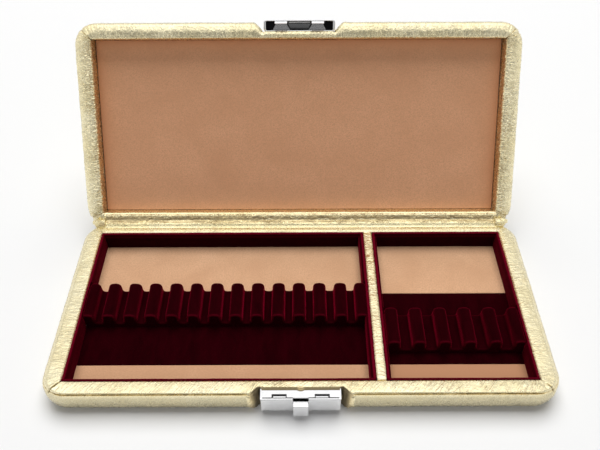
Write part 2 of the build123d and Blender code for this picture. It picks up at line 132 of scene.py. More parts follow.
def piece(name, points, faces, material, body=None, slot=None, uv=None, sharp=60, replaces=True, turn="all", **marks):
    """A mesh object from points in mm, which replaces the CAD node of its name. uv is two arrays of one value per
    point, and marks are more such arrays. The painted shade mark is how much painted shade a point gets in folds,
    seams and hollows, or below 0 how much darker the foil is painted as shade; the painted sheen mark is how much
    painted sheen it gets on an edge; and calm is how much smoother it is than the rest. turn says which faces are
    turned outward: all together where the volume is negative, each on its own, or none."""
    mesh = bpy.data.meshes.new(name)
    mesh.from_pydata((np.asarray(points).reshape(-1, 3) * MM).tolist(), [], faces)
    mesh.validate()
    if uv is not None:
        corners = np.zeros(len(mesh.loops), np.int32)
        mesh.loops.foreach_get("vertex_index", corners)
        pairs = np.stack([np.ravel(v) for v in uv], 1).astype(np.float32)
        mesh.uv_layers.new(name="skin").data.foreach_set("uv", pairs[corners].ravel())
    for label, values in marks.items():
        layer = mesh.attributes.new(label, "FLOAT", "POINT")
        layer.data.foreach_set("value", np.asarray(values, np.float32).ravel())
    mesh.materials.append(material)
    mesh.shade_smooth()
    mesh.set_sharp_from_angle(angle=radians(sharp))
    bm = bmesh.new()
    bm.from_mesh(mesh)
    if turn == "each":
        bmesh.ops.recalc_face_normals(bm, faces=bm.faces)
    elif turn == "all" and bm.calc_volume(signed=True) < 0:
        bmesh.ops.reverse_faces(bm, faces=bm.faces)
    bm.to_mesh(mesh)
    bm.free()
    made = PIECES[name] = bpy.data.objects.new(name, mesh)
    bpy.context.scene.collection.objects.link(made)
    if body:
        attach(made, body)
    if replaces:
        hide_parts(name)
    return made


def grid_faces(rows, columns, wrap=False):
    """Quads of a rows by columns point grid; wrap closes the columns into a ring."""
    i, j = np.meshgrid(np.arange(rows - 1), np.arange(columns if wrap else columns - 1), indexing="ij")
    a = i * columns + j
    b = i * columns + (j + 1) % columns
    return np.stack([a, a + columns, b + columns, b], -1).reshape(-1, 4).tolist()


def tube(name, loop, material, **details):
    """A piece from a point grid whose rows are rings, closed at both ends."""
    rows, columns = loop.shape[:2]
    ends = [list(range(columns)), list(range((rows - 1) * columns, rows * columns))[::-1]]
    return piece(name, loop, grid_faces(rows, columns, wrap=True) + ends, material, **details)


def both_sides(front, back=None):
    """A grid's columns and then those of its back, in reverse, so that each row is a ring."""
    return np.concatenate([front, (front if back is None else back)[:, ::-1]], 1)


def grid_normals(p, row, column):
    """Unit normals of a grid of points, turned so that the one at row and column points up."""
    n = np.cross(np.gradient(p, axis=0), np.gradient(p, axis=1))
    n = n / np.maximum(np.linalg.norm(n, axis=2, keepdims=True), 1e-9)
    return -n if n[row, column, 2] < 0 else n


def line_normals(line):
    """Unit normals of a flat line, to the left of its direction."""
    tangent = np.gradient(line, axis=0)
    normal = np.stack([-tangent[:, 1], tangent[:, 0]], 1)
    return normal / np.linalg.norm(normal, axis=1, keepdims=True)


def lengths(p):
    """Running length along a list of points."""
    return np.concatenate([[0.0], np.cumsum(np.linalg.norm(np.diff(p, axis=0), axis=1))])


def rounded_path(points, radii, spacing):
    """A polyline with filleted corners, resampled evenly."""
    pts = [np.array(p, float) for p in points]
    out = [pts[0]]
    for a, b, c, r in zip(pts, pts[1:], pts[2:], radii):
        u, v = (a - b) / np.linalg.norm(a - b), (c - b) / np.linalg.norm(c - b)
        half = np.arccos(np.clip(u @ v, -1, 1)) / 2
        reach = r / np.tan(half)
        centre = b + (u + v) / np.linalg.norm(u + v) * r / np.sin(half)
        p, q = b + u * reach - centre, b + v * reach - centre
        for t in np.linspace(0, 1, 9):
            m = p * (1 - t) + q * t
            out.append(centre + m / np.linalg.norm(m) * r)
    out = np.array(out + [pts[-1]])
    run = lengths(out)
    at = np.linspace(0, run[-1], max(2, int(round(run[-1] / spacing)) + 1))
    return np.stack([np.interp(at, run, out[:, k]) for k in range(out.shape[1])], 1)


# ---- leather wraps ----
CORNER_STEPS = 26
# Columns of a wrap's profile: in the rounded inner edge, at the lip's start and at the seam under the lip
INNER_EDGE, LIP_START = 8, 22
SEAM = LIP_START + 6
MITRE_AT = np.array([HALF_W, HALF_D])
MITRE_DIR = np.array([4.63, 4.73]) / np.hypot(4.63, 4.73)
SIDE_TURN = {
    "front": lambda p: np.stack([p[..., 0], -p[..., 1]], -1),
    "right": lambda p: np.stack([p[..., 1], p[..., 0]], -1),
    "back": lambda p: np.stack([-p[..., 0], p[..., 1]], -1),
    "left": lambda p: np.stack([-p[..., 1], -p[..., 0]], -1),
}


def relief(y):
    """Height of the hinge side's rounded relief below the rim plane, at y."""
    d = np.clip(y - (CASE_D / 2 - BACK_R), 0, BACK_R - 0.001)
    return -(BACK_R - np.sqrt(BACK_R**2 - d**2))


def side_stations(side):
    """Outer point, inner point, lower border point and outward direction at each station of one side,
    from mitre to mitre, with p along the side and q outward."""
    long_side = side in ("front", "back")
    reach = (CASE_W if long_side else CASE_D) / 2 - CORNER_R
    outer = (CASE_D if long_side else CASE_W) / 2
    inner, inner_reach = (HALF_D, HALF_W) if long_side else (HALF_W, HALF_D)
    t = np.linspace(0, 1, CORNER_STEPS) ** 1.5
    angle = np.radians(45) * (1 - t)
    arc_n = np.stack([-np.sin(angle), np.cos(angle)], 1)
    arc_o = np.stack([-reach - CORNER_R * np.sin(angle), outer - CORNER_R + CORNER_R * np.cos(angle)], 1)
    arc_i = np.stack([-reach - (inner_reach - reach) * (1 - t), np.full(CORNER_STEPS, inner)], 1)
    arc_b = arc_o - SHEET_INSET * arc_n
    if side == "front":
        bends = [(-reach, outer), (-RECESS_OUT, outer), (-RECESS_IN, RECESS_Y)]
        path = rounded_path(bends + [(-x, y) for x, y in bends[::-1]], [2.2, 1.5, 1.5, 2.2], 0.5)
    else:
        n = int(2 * reach / 0.55)
        path = np.stack([np.linspace(-reach, reach, n), np.full(n, outer)], 1)
    normal, path = line_normals(path)[1:-1], path[1:-1]
    mid_i = np.stack([path[:, 0], np.full(len(path), inner)], 1)
    mid_b = np.stack([path[:, 0], np.full(len(path), outer - SHEET_INSET)], 1)
    mirror = np.array([-1.0, 1.0])
    parts = ((arc_o, path), (arc_i, mid_i), (arc_b, mid_b), (arc_n, normal))
    return [np.concatenate([arc, middle, (arc * mirror)[::-1]]) for arc, middle in parts]


def wrap_grid(side, height, flap, style):
    """The visible skin of one side as a grid (stations, profile, 3) in the half's own frame, its uv in mm,
    how far each station is in the latch recess, and the painted shade, calm and painted wall shade values."""
    o, i, b, n = (SIDE_TURN[side](v) for v in side_stations(side))
    count = len(o)
    x_out = np.abs(o[:, 0])
    w = np.linalg.norm(o - i, axis=1)
    out_dir = (o - i) / w[:, None]
    recess = 1 - step(x_out, 20.5, 23.6) if side == "front" else np.zeros(count)
    # How far a station follows the plain relief arc of the hinge side
    plain = step(o[:, 1], 48.4, 51.0)
    inner_r = {"back": style.inner_back, "front": style.inner_front}.get(side, style.inner)
    mitre = np.abs(o[:, 0 if side in ("front", "back") else 1])
    near = step(mitre, mitre.max() - 9.0, mitre.max() - 2.5)
    inner_r = np.minimum(inner_r * (1 - near) + style.inner * near, w * 0.42)
    turned = np.abs(n[:, 0]) ** 1.5
    lip_in = style.lip_in * (1 - turned) + min(style.lip_in, 0.30) * turned
    lip_r = style.lip_r * (1 - turned) + max(style.lip_r, 1.25) * turned
    over = (1 - step(x_out, 16.6, 18.2)) * recess * style.over
    over = over + 0.5 * bell(o[:, 0], 0.0, 1.2, 4) * recess * style.seam
    lip_in = lip_in * (1 - recess) + 0.35 * recess - over
    lip_r = lip_r * (1 - recess) + style.recess_lip * recess
    groove = style.groove * (1 - recess)
    drop = style.crown * (1 - recess * 0.5)
    cols = []

    def top(a, z):
        a, z = np.broadcast_to(a, count), np.broadcast_to(z, count)
        cols.append(np.concatenate([i + out_dir * a[:, None], z[:, None]], 1))

    def toward_relief(a, z, a_arc, z_arc):
        top(a * (1 - plain) + a_arc * plain, z * (1 - plain) + z_arc * plain)

    # The flap in the mouth, the rounded inner edge and the crowned top
    for t in np.linspace(0, 1, 7)[:-1]:
        top(0.0, -flap + (flap - inner_r - drop) * t)
    for phi in np.radians(np.linspace(0, 90, 9))[:-1]:
        top(inner_r * (1 - np.cos(phi)), -drop - inner_r * (1 - np.sin(phi)))
    end = w - lip_in - lip_r
    for t in np.linspace(0, 1, 9)[:-1]:
        a_arc = inner_r + (w - 2.4 - inner_r) * t
        z_arc = np.minimum(-drop * np.clip(1 - 2 * t, 0, 1) ** 2, relief(i[:, 1] + out_dir[:, 1] * a_arc))
        toward_relief(inner_r + (end - inner_r) * t, -drop * (2 * t - 1) ** 2, a_arc, z_arc)
    # The lip, the seam's groove under it and the welt or wall beyond. Over the latch, a dark tongue comes out
    lip = [(lip_r * np.sin(f), -drop - lip_r * (1 - np.cos(f))) for f in np.radians([0, 18, 36, 54, 70])]
    edge_z = -drop - lip_r
    tongue = (1 - step(x_out, 16.8, 17.6)) * recess * style.seam
    for a, a_tongue, z, z_tongue in (
        (lip_r - 0.05, 0.10, edge_z * 0.92 - 0.02, -0.27),
        (lip_r - groove, 1.30, edge_z - 0.20, -0.22),
    ):
        lip.append((a * (1 - tongue) + (lip_r + a_tongue) * tongue, z * (1 - tongue) + z_tongue * tongue))
    under = (lip_r - groove * 0.9) * (1 - tongue) + (lip_r + 1.32) * tongue
    lip.append((under, edge_z - 0.30 - 0.22 * recess))
    lip = [(end + a, z) for a, z in lip]
    welt = np.clip(lip_in - 0.5, 0, 1) * (1 - recess)
    wall_a = np.maximum(np.minimum(lip_in - 0.12, 0.85), 0.0)
    wall_z = edge_z - 0.62 + 0.60 * welt
    low_z = -5.2 + 2.1 * recess - 1.2 * welt
    reach = np.maximum(wall_a, 0.50 * (1 - recess) * (1 - turned))
    wall_start = radians(38)
    for f in np.radians([38, 47, 57, 68, 79, 90]):
        a = w - reach * (1 - sin(f)) / (1 - sin(wall_start))
        lip.append((a, wall_z + (low_z - wall_z) * (cos(wall_start) - cos(f)) / cos(wall_start)))
    for psi, (a, z) in zip(np.radians(np.linspace(0, 90, len(lip))), lip):
        a_arc = w - 2.4 * (1 - np.sin(psi))
        z_arc = np.minimum(-2.4 * (1 - np.cos(psi)), relief(i[:, 1] + out_dir[:, 1] * a_arc))
        toward_relief(a, z, a_arc, z_arc)
    # Down the outer wall and round the lower edge, which is tighter along the base's front
    low = cols[-1][:, 2]
    low_r = EDGE_R * (1 - recess) + 0.9 * recess
    if side == "front" and style.seam:
        low_r = low_r - 1.6 * (1 - recess) * (1 - turned)
    for t in (0.35, 0.7, 1.0):
        cols.append(np.column_stack([o, low + (np.minimum(-(height - low_r), low - 0.02) - low) * t]))
    stop = np.radians(82.9)
    base_z = cols[-1][:, 2]
    for phi in np.linspace(0, stop, 12)[1:]:
        share = (1 - np.cos(phi)) / (1 - np.cos(stop))
        z = base_z + (-height + 0.05 - base_z) * np.sin(phi) / np.sin(stop)
        cols.append(np.column_stack([o + (b - o) * share, z]))
    grid = np.stack(cols, 1)
    # The padded wall bulges past the plain outline
    depth = -grid[..., 2]
    grow = np.where(o[:, 0] < 0, style.grow[0], style.grow[1]) * np.abs(n[:, 0])
    grow = grow + style.grow[2] * np.clip(-n[:, 1], 0, 1) * (1 - recess)
    bulge = step(depth, 0.2, 2.2) * (1 - 0.75 * step(depth, 3.5, height - 0.5))
    share = np.clip(np.linalg.norm(grid[..., :2] - i[:, None, :], axis=2) / w[:, None], 0, 1)
    bulge = bulge * step(share, 0.55, 0.9)
    grid[..., :2] += n[:, None, :] * (bulge * grow[:, None])[..., None]
    s = lengths(o)
    u = np.repeat((s - s[-1] / 2)[:, None], grid.shape[1], 1)
    along = np.cumsum(np.linalg.norm(np.diff(grid, axis=1), axis=2), 1)
    v = np.repeat(np.mean(np.concatenate([np.zeros((count, 1)), along], 1), 0)[None, :], count, 0)
    # Painted shade in the seam, and painted shade in the recess behind the latch
    dark = np.zeros(grid.shape[:2])
    shown = (1 - 0.8 * turned) * (1 - 0.25 * recess) * (1 - plain) * style.seam
    behind = recess * style.seam
    dark[:, SEAM] = shown
    dark[:, SEAM + 1] = 0.80 * shown
    dark[:, SEAM + 2] = 0.12 * shown
    dark[:, SEAM - 1] = np.maximum(0.16 * shown, 0.75 * behind)
    dark[:, SEAM - 2] = 0.45 * behind
    dark[:, SEAM - 3] = 0.15 * behind
    shade = 0.85 * behind * (1 - 0.35 * step(x_out, 20.0, 23.0))
    dark[:, SEAM:] = np.maximum(dark[:, SEAM:], shade[:, None])
    edge = np.zeros(grid.shape[:2])
    edge[:, INNER_EDGE:INNER_EDGE + 6] = [0.5, 0.9, 1.0, 0.9, 0.6, 0.3]
    # Painted shade along the rounded inner edge
    dark = np.maximum(dark, style.edge_dark * edge * (1 - plain)[:, None])
    edge[:, LIP_START + 2:] = 0.8 * style.seam
    calm = 0.8 * edge
    # Painted shade, the foil darker: on the walls toward the bottom, and on the low middle of the lid's sides
    column = np.arange(grid.shape[1])
    turned = turned[:, None]
    wall = step(-grid[..., 2], 0.9, 2.2) * (column > SEAM + 1)
    wear_and_shade = wall * (0.58 + 0.34 * step(-grid[..., 2], 3.0, height)) * (1 - turned) + wall * 0.45 * turned
    if style.seam:
        wear_and_shade = np.maximum(wear_and_shade, 0.12 * turned * ((column > INNER_EDGE) & (column <= SEAM + 1)))
    else:
        outer_half = step(np.clip(column - 12, 0, 20) / 14, 0.45, 0.85)[None, :]
        calm = calm * 0.3 + 0.40 * outer_half * turned
        middle = np.interp(column, [11, 13, 14, 15, 17, 20, 22, 24], [0, 0.15, 0.46, 0.36, 0.22, 0.22, 0.10, 0.0])
        wear_and_shade = np.maximum(wear_and_shade, middle[None, :] * turned)
    return grid, u, v, recess[:, None], dark, np.clip(calm, 0, 1), wear_and_shade


def crease(grid, half):
    """Depth of the mitre folds and pleats at the corners."""
    x, y, z = grid[..., 0], grid[..., 1], grid[..., 2]
    ax, ay = np.abs(x) - MITRE_AT[0], np.abs(y) - MITRE_AT[1]
    along = ax * MITRE_DIR[0] + ay * MITRE_DIR[1]
    across = ax * MITRE_DIR[1] - ay * MITRE_DIR[0]
    front, left = y < 0, x < 0
    depth = np.zeros_like(x)
    jagged = across + 0.16 * noise(along * 1.3, left * 3.0, front * 2.0 + z * 0.5, 5)
    if half == "base":
        belly = bell(along, 3.0, 1.7)
        strength = np.where(left, 0.38 + 0.45 * belly, 0.12 + 0.5 * step(along, 2.6, 4.0))
        main = np.where(front, strength, 0.0)
        depth -= main * bell(jagged, 0.0, 0.22 + 0.12 * belly * left)
        depth += main * 0.22 * bell(np.abs(across), 0.75, 0.45)
        puckers = np.where(front, 0.07, 0.10)
    else:
        depth -= np.where(front, 0.34, 0.0) * bell(jagged, 0.0, 0.25)
        for turn, strength in ((0.42, 0.26), (-0.5, 0.20), (0.85, 0.16), (-0.95, 0.14)):
            pleat = bell(across - turn * (along + 0.4), 0.0, 0.28) * step(along, 0.2, 1.5)
            depth -= np.where(front, strength, strength * 1.6) * pleat
        puckers = np.where(front, 0.10, 0.24)
    reach = bell(across, 0.0, 6.5) * step(along, 0.0, 3.5)
    turn = np.arctan2(across, along + 5.0)
    depth += puckers * reach * layered(turn * 9.0, along * 0.35, z * 0.3, 31, 2)
    return depth * step(z, -9.0, -6.0) * step(along, -1.4, 0.2)


def wrap(side, half, height, flap, style, place, name, material):
    """One leather side of a half: a closed skin whose visible face has folds, puckers and a wavy seam."""
    grid, u, v, recess, dark, calm, wear_and_shade = wrap_grid(side, height, flap, style)
    normal = grid_normals(grid, len(grid) // 2, 18)
    x, y, z = grid[..., 0], grid[..., 1], grid[..., 2]
    x_abs = np.abs(x)
    base_front = half == "base" and side == "front"
    seed = {"front": 3, "right": 11, "back": 23, "left": 37}[side] + (100 if half == "lid" else 0)
    across = style.across if side in ("left", "right") else style.along
    fold = 1 - 2 * np.abs(noise(u / 2.6 + 0.9 * noise(u / 7, v / 5, 0, seed + 2), v / 7.5, 0, seed))
    patch = 0.45 + 0.55 * step(noise(u / 13, v / 9, 0, seed + 1), -0.3, 0.5)
    d = across * fold * patch + 0.07 * layered(u / 6, v / 5, 0, seed + 3, 2)
    if side == "back":
        d *= 0.7
    far = v.max()
    rim = step(v, flap + 0.2, flap + 2.4) * (1 - 0.5 * step(v, far - 9, far - 5))
    ends = step(v, 0.0, 1.5) * step(far - v, 0.0, 1.2)
    folds = crease(grid, half)
    in_seam = (dark > 0.3) & (recess < 0.5)
    dark = dark * np.clip(np.where(in_seam, 0.72 + 0.34 * layered(u / 0.9, 0 * v, 0, seed + 5, 2), 1.0), 0, 1)
    # Painted shade in the mitre folds
    dark = np.maximum(dark, step(-folds, 0.16, 0.5) * (0.85 if half == "base" else 0.5))
    if base_front:
        # A bare tan spot behind the catch
        spot = bell(x, 0.0, 1.5, 4) * (y < -47.6) * (y > -49.2) * (z > -1.3)
        dark = dark * (1 - spot) + 0.28 * spot
    # Where nothing else is painted, the painted wall shade is kept below 0
    dark = np.where(dark < 0.02, -wear_and_shade, dark)
    d = d * rim * (1 - 0.6 * recess) + folds
    if side == "front":
        # Vertical rumples on the short slanted walls of the latch recess
        slant = step(x_abs, 17.4, 18.6) * (1 - step(x_abs, 23.0, 25.0)) * step(-z, 0.8, 2.5)
        d = d + slant * 0.16 * layered(u / 1.1, z / 5.0, 0, seed + 9, 2)
    limit = np.where(z > -0.6, 0.12, 0.3)
    grid = grid + normal * np.minimum(d * ends, limit)[..., None]
    if base_front:
        # Lower down, those walls close in toward the latch
        skirt = 1.2 * step(x_abs, 17.2, 18.6) * (1 - step(x_abs, 21.0, 23.4)) * step(-z, 1.5, 6.5)
        grid = grid + np.stack([-np.sign(x) * 0.8, np.full_like(x, -0.45), np.zeros_like(x)], -1) * skirt[..., None]
        near_latch = (np.abs(grid[..., 0]) < 17.5) & (grid[..., 1] < -48.3) & (skirt > 0.01)
        grid[..., 0] = np.where(near_latch, np.sign(x) * 17.5, grid[..., 0])
    # The hidden side of the skin follows some of the profile's columns
    last = grid.shape[1] - 1
    keep = [last, last - 4, last - 9, last - 15, 22, 15, 8, 4, 0]
    loop = np.concatenate([grid, grid[:, keep, :] - normal[:, keep, :] * 0.75], 1)
    slope = 0.9 * v if base_front else 0
    uv = (np.concatenate([u + slope, u[:, keep]], 1), np.concatenate([v, v[:, keep] + 60], 1))
    plain = np.zeros((len(grid), len(keep)))
    return tube(
        name, place(loop + np.array([style.shift, 0, 0])), material, body=half, slot="gold_leather", uv=uv,
        crevice=np.concatenate([dark, plain], 1), calm=np.concatenate([calm, plain], 1),
    )


def square_to_round(w, d, r, spacing):
    """A grid over a rounded rectangle: points, and each one's distance from the edge."""
    def run(size):
        half = size / 2
        core = np.linspace(-half + r, half - r, max(2, int((size - 2 * r) / spacing) + 1))
        ends = half - r + r * np.linspace(0, 1, 9)[1:]
        return np.concatenate([-ends[::-1], core, ends])

    x, y = np.meshgrid(run(w), run(d), indexing="ij")
    p, q = (np.abs(x) - (w / 2 - r)) / r, (np.abs(y) - (d / 2 - r)) / r
    corner = (p > 0) & (q > 0)
    big = np.maximum(np.maximum(p, q), 1e-9)
    turn = np.where(p >= q, pi / 4 * q / np.maximum(p, 1e-9), pi / 2 - pi / 4 * p / np.maximum(q, 1e-9))
    x = np.where(corner, np.sign(x) * (w / 2 - r + r * big * np.cos(turn)), x)
    y = np.where(corner, np.sign(y) * (d / 2 - r + r * big * np.sin(turn)), y)
    edge = np.where(corner, r * (1 - big), np.minimum(w / 2 - np.abs(x), d / 2 - np.abs(y)))
    return x, y, np.maximum(edge, 0)


def slab(w, d, r, spacing, thickness, edge, top):
    """A closed panel with softly rounded upper edges. top(x, y, edge distance) adds relief to the upper face.
    Returns points in mm with z 0 at the underside, faces and uv."""
    x, y, away = square_to_round(w, d, r, spacing)
    near = np.clip(1 - away / edge, 0, 1)
    z = thickness + top(x, y, away) - edge * (1 - np.sqrt(np.clip(1 - near**2, 0, 1)))
    points = np.concatenate([np.stack([x, y, level], -1).reshape(-1, 3) for level in (z, 0 * z)])
    rows, columns = x.shape
    n = rows * columns
    upper = grid_faces(rows, columns)
    lower = [[k + n for k in face[::-1]] for face in upper]
    rim = [i * columns for i in range(rows)] + [(rows - 1) * columns + j for j in range(1, columns)]
    rim += [i * columns + columns - 1 for i in range(rows - 2, -1, -1)] + list(range(columns - 2, 0, -1))
    skirt = [[b, a, a + n, b + n] for a, b in zip(rim, rim[1:] + rim[:1])]
    return points, upper + lower + skirt, (points[:, 0], points[:, 1])


# ---- materials ----
class Nodes:
    """Short calls for building a node tree."""

    def __init__(self, tree):
        self.nt = tree
        tree.nodes.clear()

    def feed(self, socket, value):
        if isinstance(value, bpy.types.NodeSocket):
            self.nt.links.new(value, socket)
        else:
            socket.default_value = value

    def add(self, kind, **inputs):
        node = self.nt.nodes.new(kind)
        for key, value in inputs.items():
            self.feed(node.inputs[key.replace("_", " ")], value)
        return node

    def calc(self, operation, *values):
        node = self.nt.nodes.new("ShaderNodeMath")
        node.operation = operation
        for socket, value in zip(node.inputs, values):
            self.feed(socket, value)
        return node.outputs[0]

    def span(self, value, a, b, low=0.0, high=1.0, smooth=False):
        """value taken from the range a to b into the range low to high."""
        node = self.add("ShaderNodeMapRange", Value=value, From_Min=a, From_Max=b, To_Min=low, To_Max=high)
        if smooth:
            node.interpolation_type = "SMOOTHSTEP"
        return node.outputs[0]

    def join(self, factor, a, b):
        """A mix of two shaders."""
        node = self.nt.nodes.new("ShaderNodeMixShader")
        for socket, value in zip(node.inputs, (factor, a, b)):
            self.feed(socket, value)
        return node.outputs[0]


class Shade(Nodes):
    """A material of one Principled shader."""

    def __init__(self, name, **sockets):
        self.mat = bpy.data.materials.new(name)
        self.mat.use_nodes = True
        super().__init__(self.mat.node_tree)
        self.bsdf = self.add("ShaderNodeBsdfPrincipled", **sockets)
        self.feed(self.add("ShaderNodeOutputMaterial").inputs[0], self.bsdf.outputs[0])

    def mark(self, label):
        """The value that the pieces' points carry under this label."""
        node = self.nt.nodes.new("ShaderNodeAttribute")
        node.attribute_name = label
        return node.outputs["Fac"]

    def coords(self, scale=(1, 1, 1), uv=False):
        """Coordinates in mm, from the mesh or from its skin map, then scaled."""
        node = self.nt.nodes.new("ShaderNodeUVMap" if uv else "ShaderNodeTexCoord")
        if uv:
            node.uv_map = "skin"
        scaled = self.nt.nodes.new("ShaderNodeVectorMath")
        scaled.operation = "MULTIPLY"
        self.feed(scaled.inputs[0], node.outputs["UV" if uv else "Object"])
        scaled.inputs[1].default_value = [s if uv else s / MM for s in scale]
        return scaled.outputs[0]

    def noise(self, where, scale, detail=3.0, roughness=0.55, distortion=0.0):
        node = self.add("ShaderNodeTexNoise", Vector=where, Scale=scale, Detail=detail, Roughness=roughness,
                        Distortion=distortion)
        return node.outputs["Fac"]

    def mix(self, factor, a, b):
        node = self.nt.nodes.new("ShaderNodeMix")
        node.data_type = "RGBA"
        self.feed(node.inputs[0], factor)
        for socket, value in ((node.inputs[6], a), (node.inputs[7], b)):
            self.feed(socket, value if isinstance(value, bpy.types.NodeSocket) else (*value, 1))
        return node.outputs[2]

    def bump(self, height, distance, strength=1.0, under=None):
        node = self.add("ShaderNodeBump", Height=height, Strength=strength, Distance=distance * MM)
        if under is not None:
            self.feed(node.inputs["Normal"], under)
        return node.outputs[0]

    def end(self, color, roughness, normal):
        for key, value in (("Base Color", color), ("Roughness", roughness), ("Normal", normal)):
            self.feed(self.bsdf.inputs[key], value)
        return self.mat


def gold_leather(name, along, across, rumple, grain_depth, sharp=0.0, fold_shade=0.2, speck=0.25, warm=0.0):
    """Foiled leather: pale gold, glossy, with a crushed grain and little cross folds, soft ones or sharp ones.
    along and across are folds per mm, rumple and grain_depth are heights in mm."""
    m = Shade(f"gold leather, {name}", Metallic=0.95)
    body = m.coords()
    grain = m.noise(body, 0.85, 1.6, 0.5, 0.5)
    pits = m.add("ShaderNodeTexVoronoi", Vector=body, Scale=1.25, Randomness=1.0)
    pits.feature = "SMOOTH_F1"
    free = m.span(m.mark("calm"), 0.0, 1.0, 1.0, 0.12)
    ripple = m.noise(m.coords((along, across, 1), uv=True), 1.0, 1.6, 0.5, 0.9)
    ridged = m.calc("ABSOLUTE", m.calc("SUBTRACT", ripple, 0.5))
    ridged = m.calc("POWER", m.calc("MULTIPLY", ridged, 3.0), 0.75)
    soft = m.span(ripple, 0.28, 0.72, 0.0, 0.6, True)
    folds = m.calc("ADD", m.calc("MULTIPLY", ridged, sharp), m.calc("MULTIPLY", soft, 1 - sharp))
    where = m.calc("MULTIPLY", m.span(m.noise(body, 0.11, 2.0, 0.5), 0.38, 0.62, 0.35, 1.0), free)
    large = m.noise(body, 0.07, 2.0, 0.5)
    height = m.calc("MULTIPLY", m.calc("ADD", grain, m.calc("MULTIPLY", pits.outputs["Distance"], 0.30)), free)
    dull_gold = (0.93, 0.825 - 0.04 * warm, 0.520 - 0.15 * warm)
    bright_gold = (0.98, 0.890 - 0.04 * warm, 0.61 - 0.16 * warm)
    tone = m.mix(m.span(large, 0.35, 0.65), dull_gold, bright_gold)
    # Painted shade: ochre in the dips of the folds
    tone = m.mix(m.calc("MULTIPLY", m.span(folds, 0.02, 0.24, fold_shade, 0.0), where), tone, (0.70, 0.50, 0.21))
    tone = m.mix(m.span(grain, 0.36, 0.50, speck, 0.0), tone, (0.90, 0.73, 0.40))
    # Painted shade from the mark: below 0 the foil is darker and duller, from 0 it is ochre and then dark
    crevice = m.mark("crevice")
    tone = m.mix(m.span(crevice, -1.0, 0.0, 1.0, 0.0), tone, (0.42, 0.375, 0.25))
    tone = m.mix(m.span(crevice, 0.0, 0.3, 0.0, 0.9), tone, (0.71, 0.565, 0.31))
    deep = m.span(crevice, 0.22, 1.0)
    tone = m.mix(deep, tone, (0.100, 0.080, 0.052))
    rough = m.calc("ADD", m.span(grain, 0.35, 0.65, 0.32, 0.22), m.calc("MULTIPLY", deep, 0.3))
    return m.end(tone, rough, m.bump(height, grain_depth, 1.0, m.bump(m.calc("MULTIPLY", folds, where), rumple)))


def velvet(name, sheen):
    """Burgundy velvet: almost black face on, red where the pile is seen from the side, and a painted sheen of red on
    marked edges.
    """
    deep, pile, sheen_red = (0.0105, 0.0001, 0.0009), (0.60, 0.005, 0.045, 1), (0.18, 0.0028, 0.016)
    m = Shade(name, Specular_IOR_Level=0.02, Sheen_Weight=sheen, Sheen_Roughness=0.34, Sheen_Tint=pile)
    body = m.coords()
    nap = m.noise(body, 1.9, 3.0, 0.7)
    brushed = m.noise(m.coords((0.22, 0.07, 0.25)), 1.0, 3.0, 0.6, 0.5)
    color = m.mix(m.span(brushed, 0.3, 0.7), deep, tuple(1.8 * c for c in deep))
    color = m.mix(m.span(nap, 0.55, 0.85), color, tuple(4.0 * c for c in deep))
    # Painted sheen: a lighter red where the mark is
    color = m.mix(m.calc("MULTIPLY", m.mark("ridge"), m.span(nap, 0.25, 0.65, 0.45, 1.0)), color, sheen_red)
    return m.end(color, m.span(nap, 0.3, 0.7, 0.8, 0.95), m.bump(nap, 0.16, 0.9, m.bump(brushed, 0.10, 0.6)))


def suede(name, tone, shade):
    """Napped tan suede with faint brushing."""
    m = Shade(name, Specular_IOR_Level=0.12, Sheen_Weight=0.12, Sheen_Roughness=0.6, Sheen_Tint=(1.0, 0.82, 0.66, 1))
    body = m.coords()
    nap = m.noise(body, 1.5, 3.0, 0.85)
    cloud = m.noise(body, 0.05, 3.0, 0.55, 0.4)
    fibre = m.noise(m.coords((1.6, 1.6, 1.6)), 2.4, 2.0, 0.7)
    color = m.mix(m.span(cloud, 0.3, 0.7), shade, tone)
    color = m.mix(m.span(nap, 0.36, 0.58), tuple(0.87 * c for c in shade), color)
    # Painted shade from the mark, toward a panel's edges and over shaded panels
    color = m.mix(m.mark("crevice"), color, tuple(k * c for k, c in zip((0.80, 0.69, 0.65), shade)))
    return m.end(color, m.span(nap, 0.3, 0.7, 0.9, 1.0), m.bump(fibre, 0.05, 0.6, m.bump(nap, 0.10, 0.7)))


def chrome(name, tone, rough):
    """Plated metal with hairline polishing marks, and painted shade inside hollows."""
    m = Shade(name, Metallic=1.0)
    hair = m.noise(m.coords((0.5, 9.0, 9.0)), 1.0, 3.0, 0.7)
    smear = m.noise(m.coords(), 0.35, 3.0, 0.6)
    color = m.mix(m.span(smear, 0.35, 0.7), tone, tuple(0.93 * c for c in tone))
    # Painted shade inside hollows
    color = m.mix(m.mark("crevice"), color, (0.012, 0.012, 0.013))
    wear_and_shade = m.span(smear, 0.4, 0.8, 0.0, 0.06)
    roughness = m.calc("ADD", m.span(hair, 0.3, 0.7, rough * 0.7, rough * 1.5), wear_and_shade)
    return m.end(color, roughness, m.bump(hair, 0.004, 0.5))


def greyboard(name, low, high):
    """Pressed board for the cores."""
    m = Shade(name)
    fibre = m.noise(m.coords((0.8, 2.2, 2.2)), 1.0, 4.0, 0.65)
    color = m.mix(m.span(fibre, 0.3, 0.7), low, high)
    return m.end(color, m.span(fibre, 0.3, 0.7, 0.8, 0.98), m.bump(fibre, 0.08, 0.7))


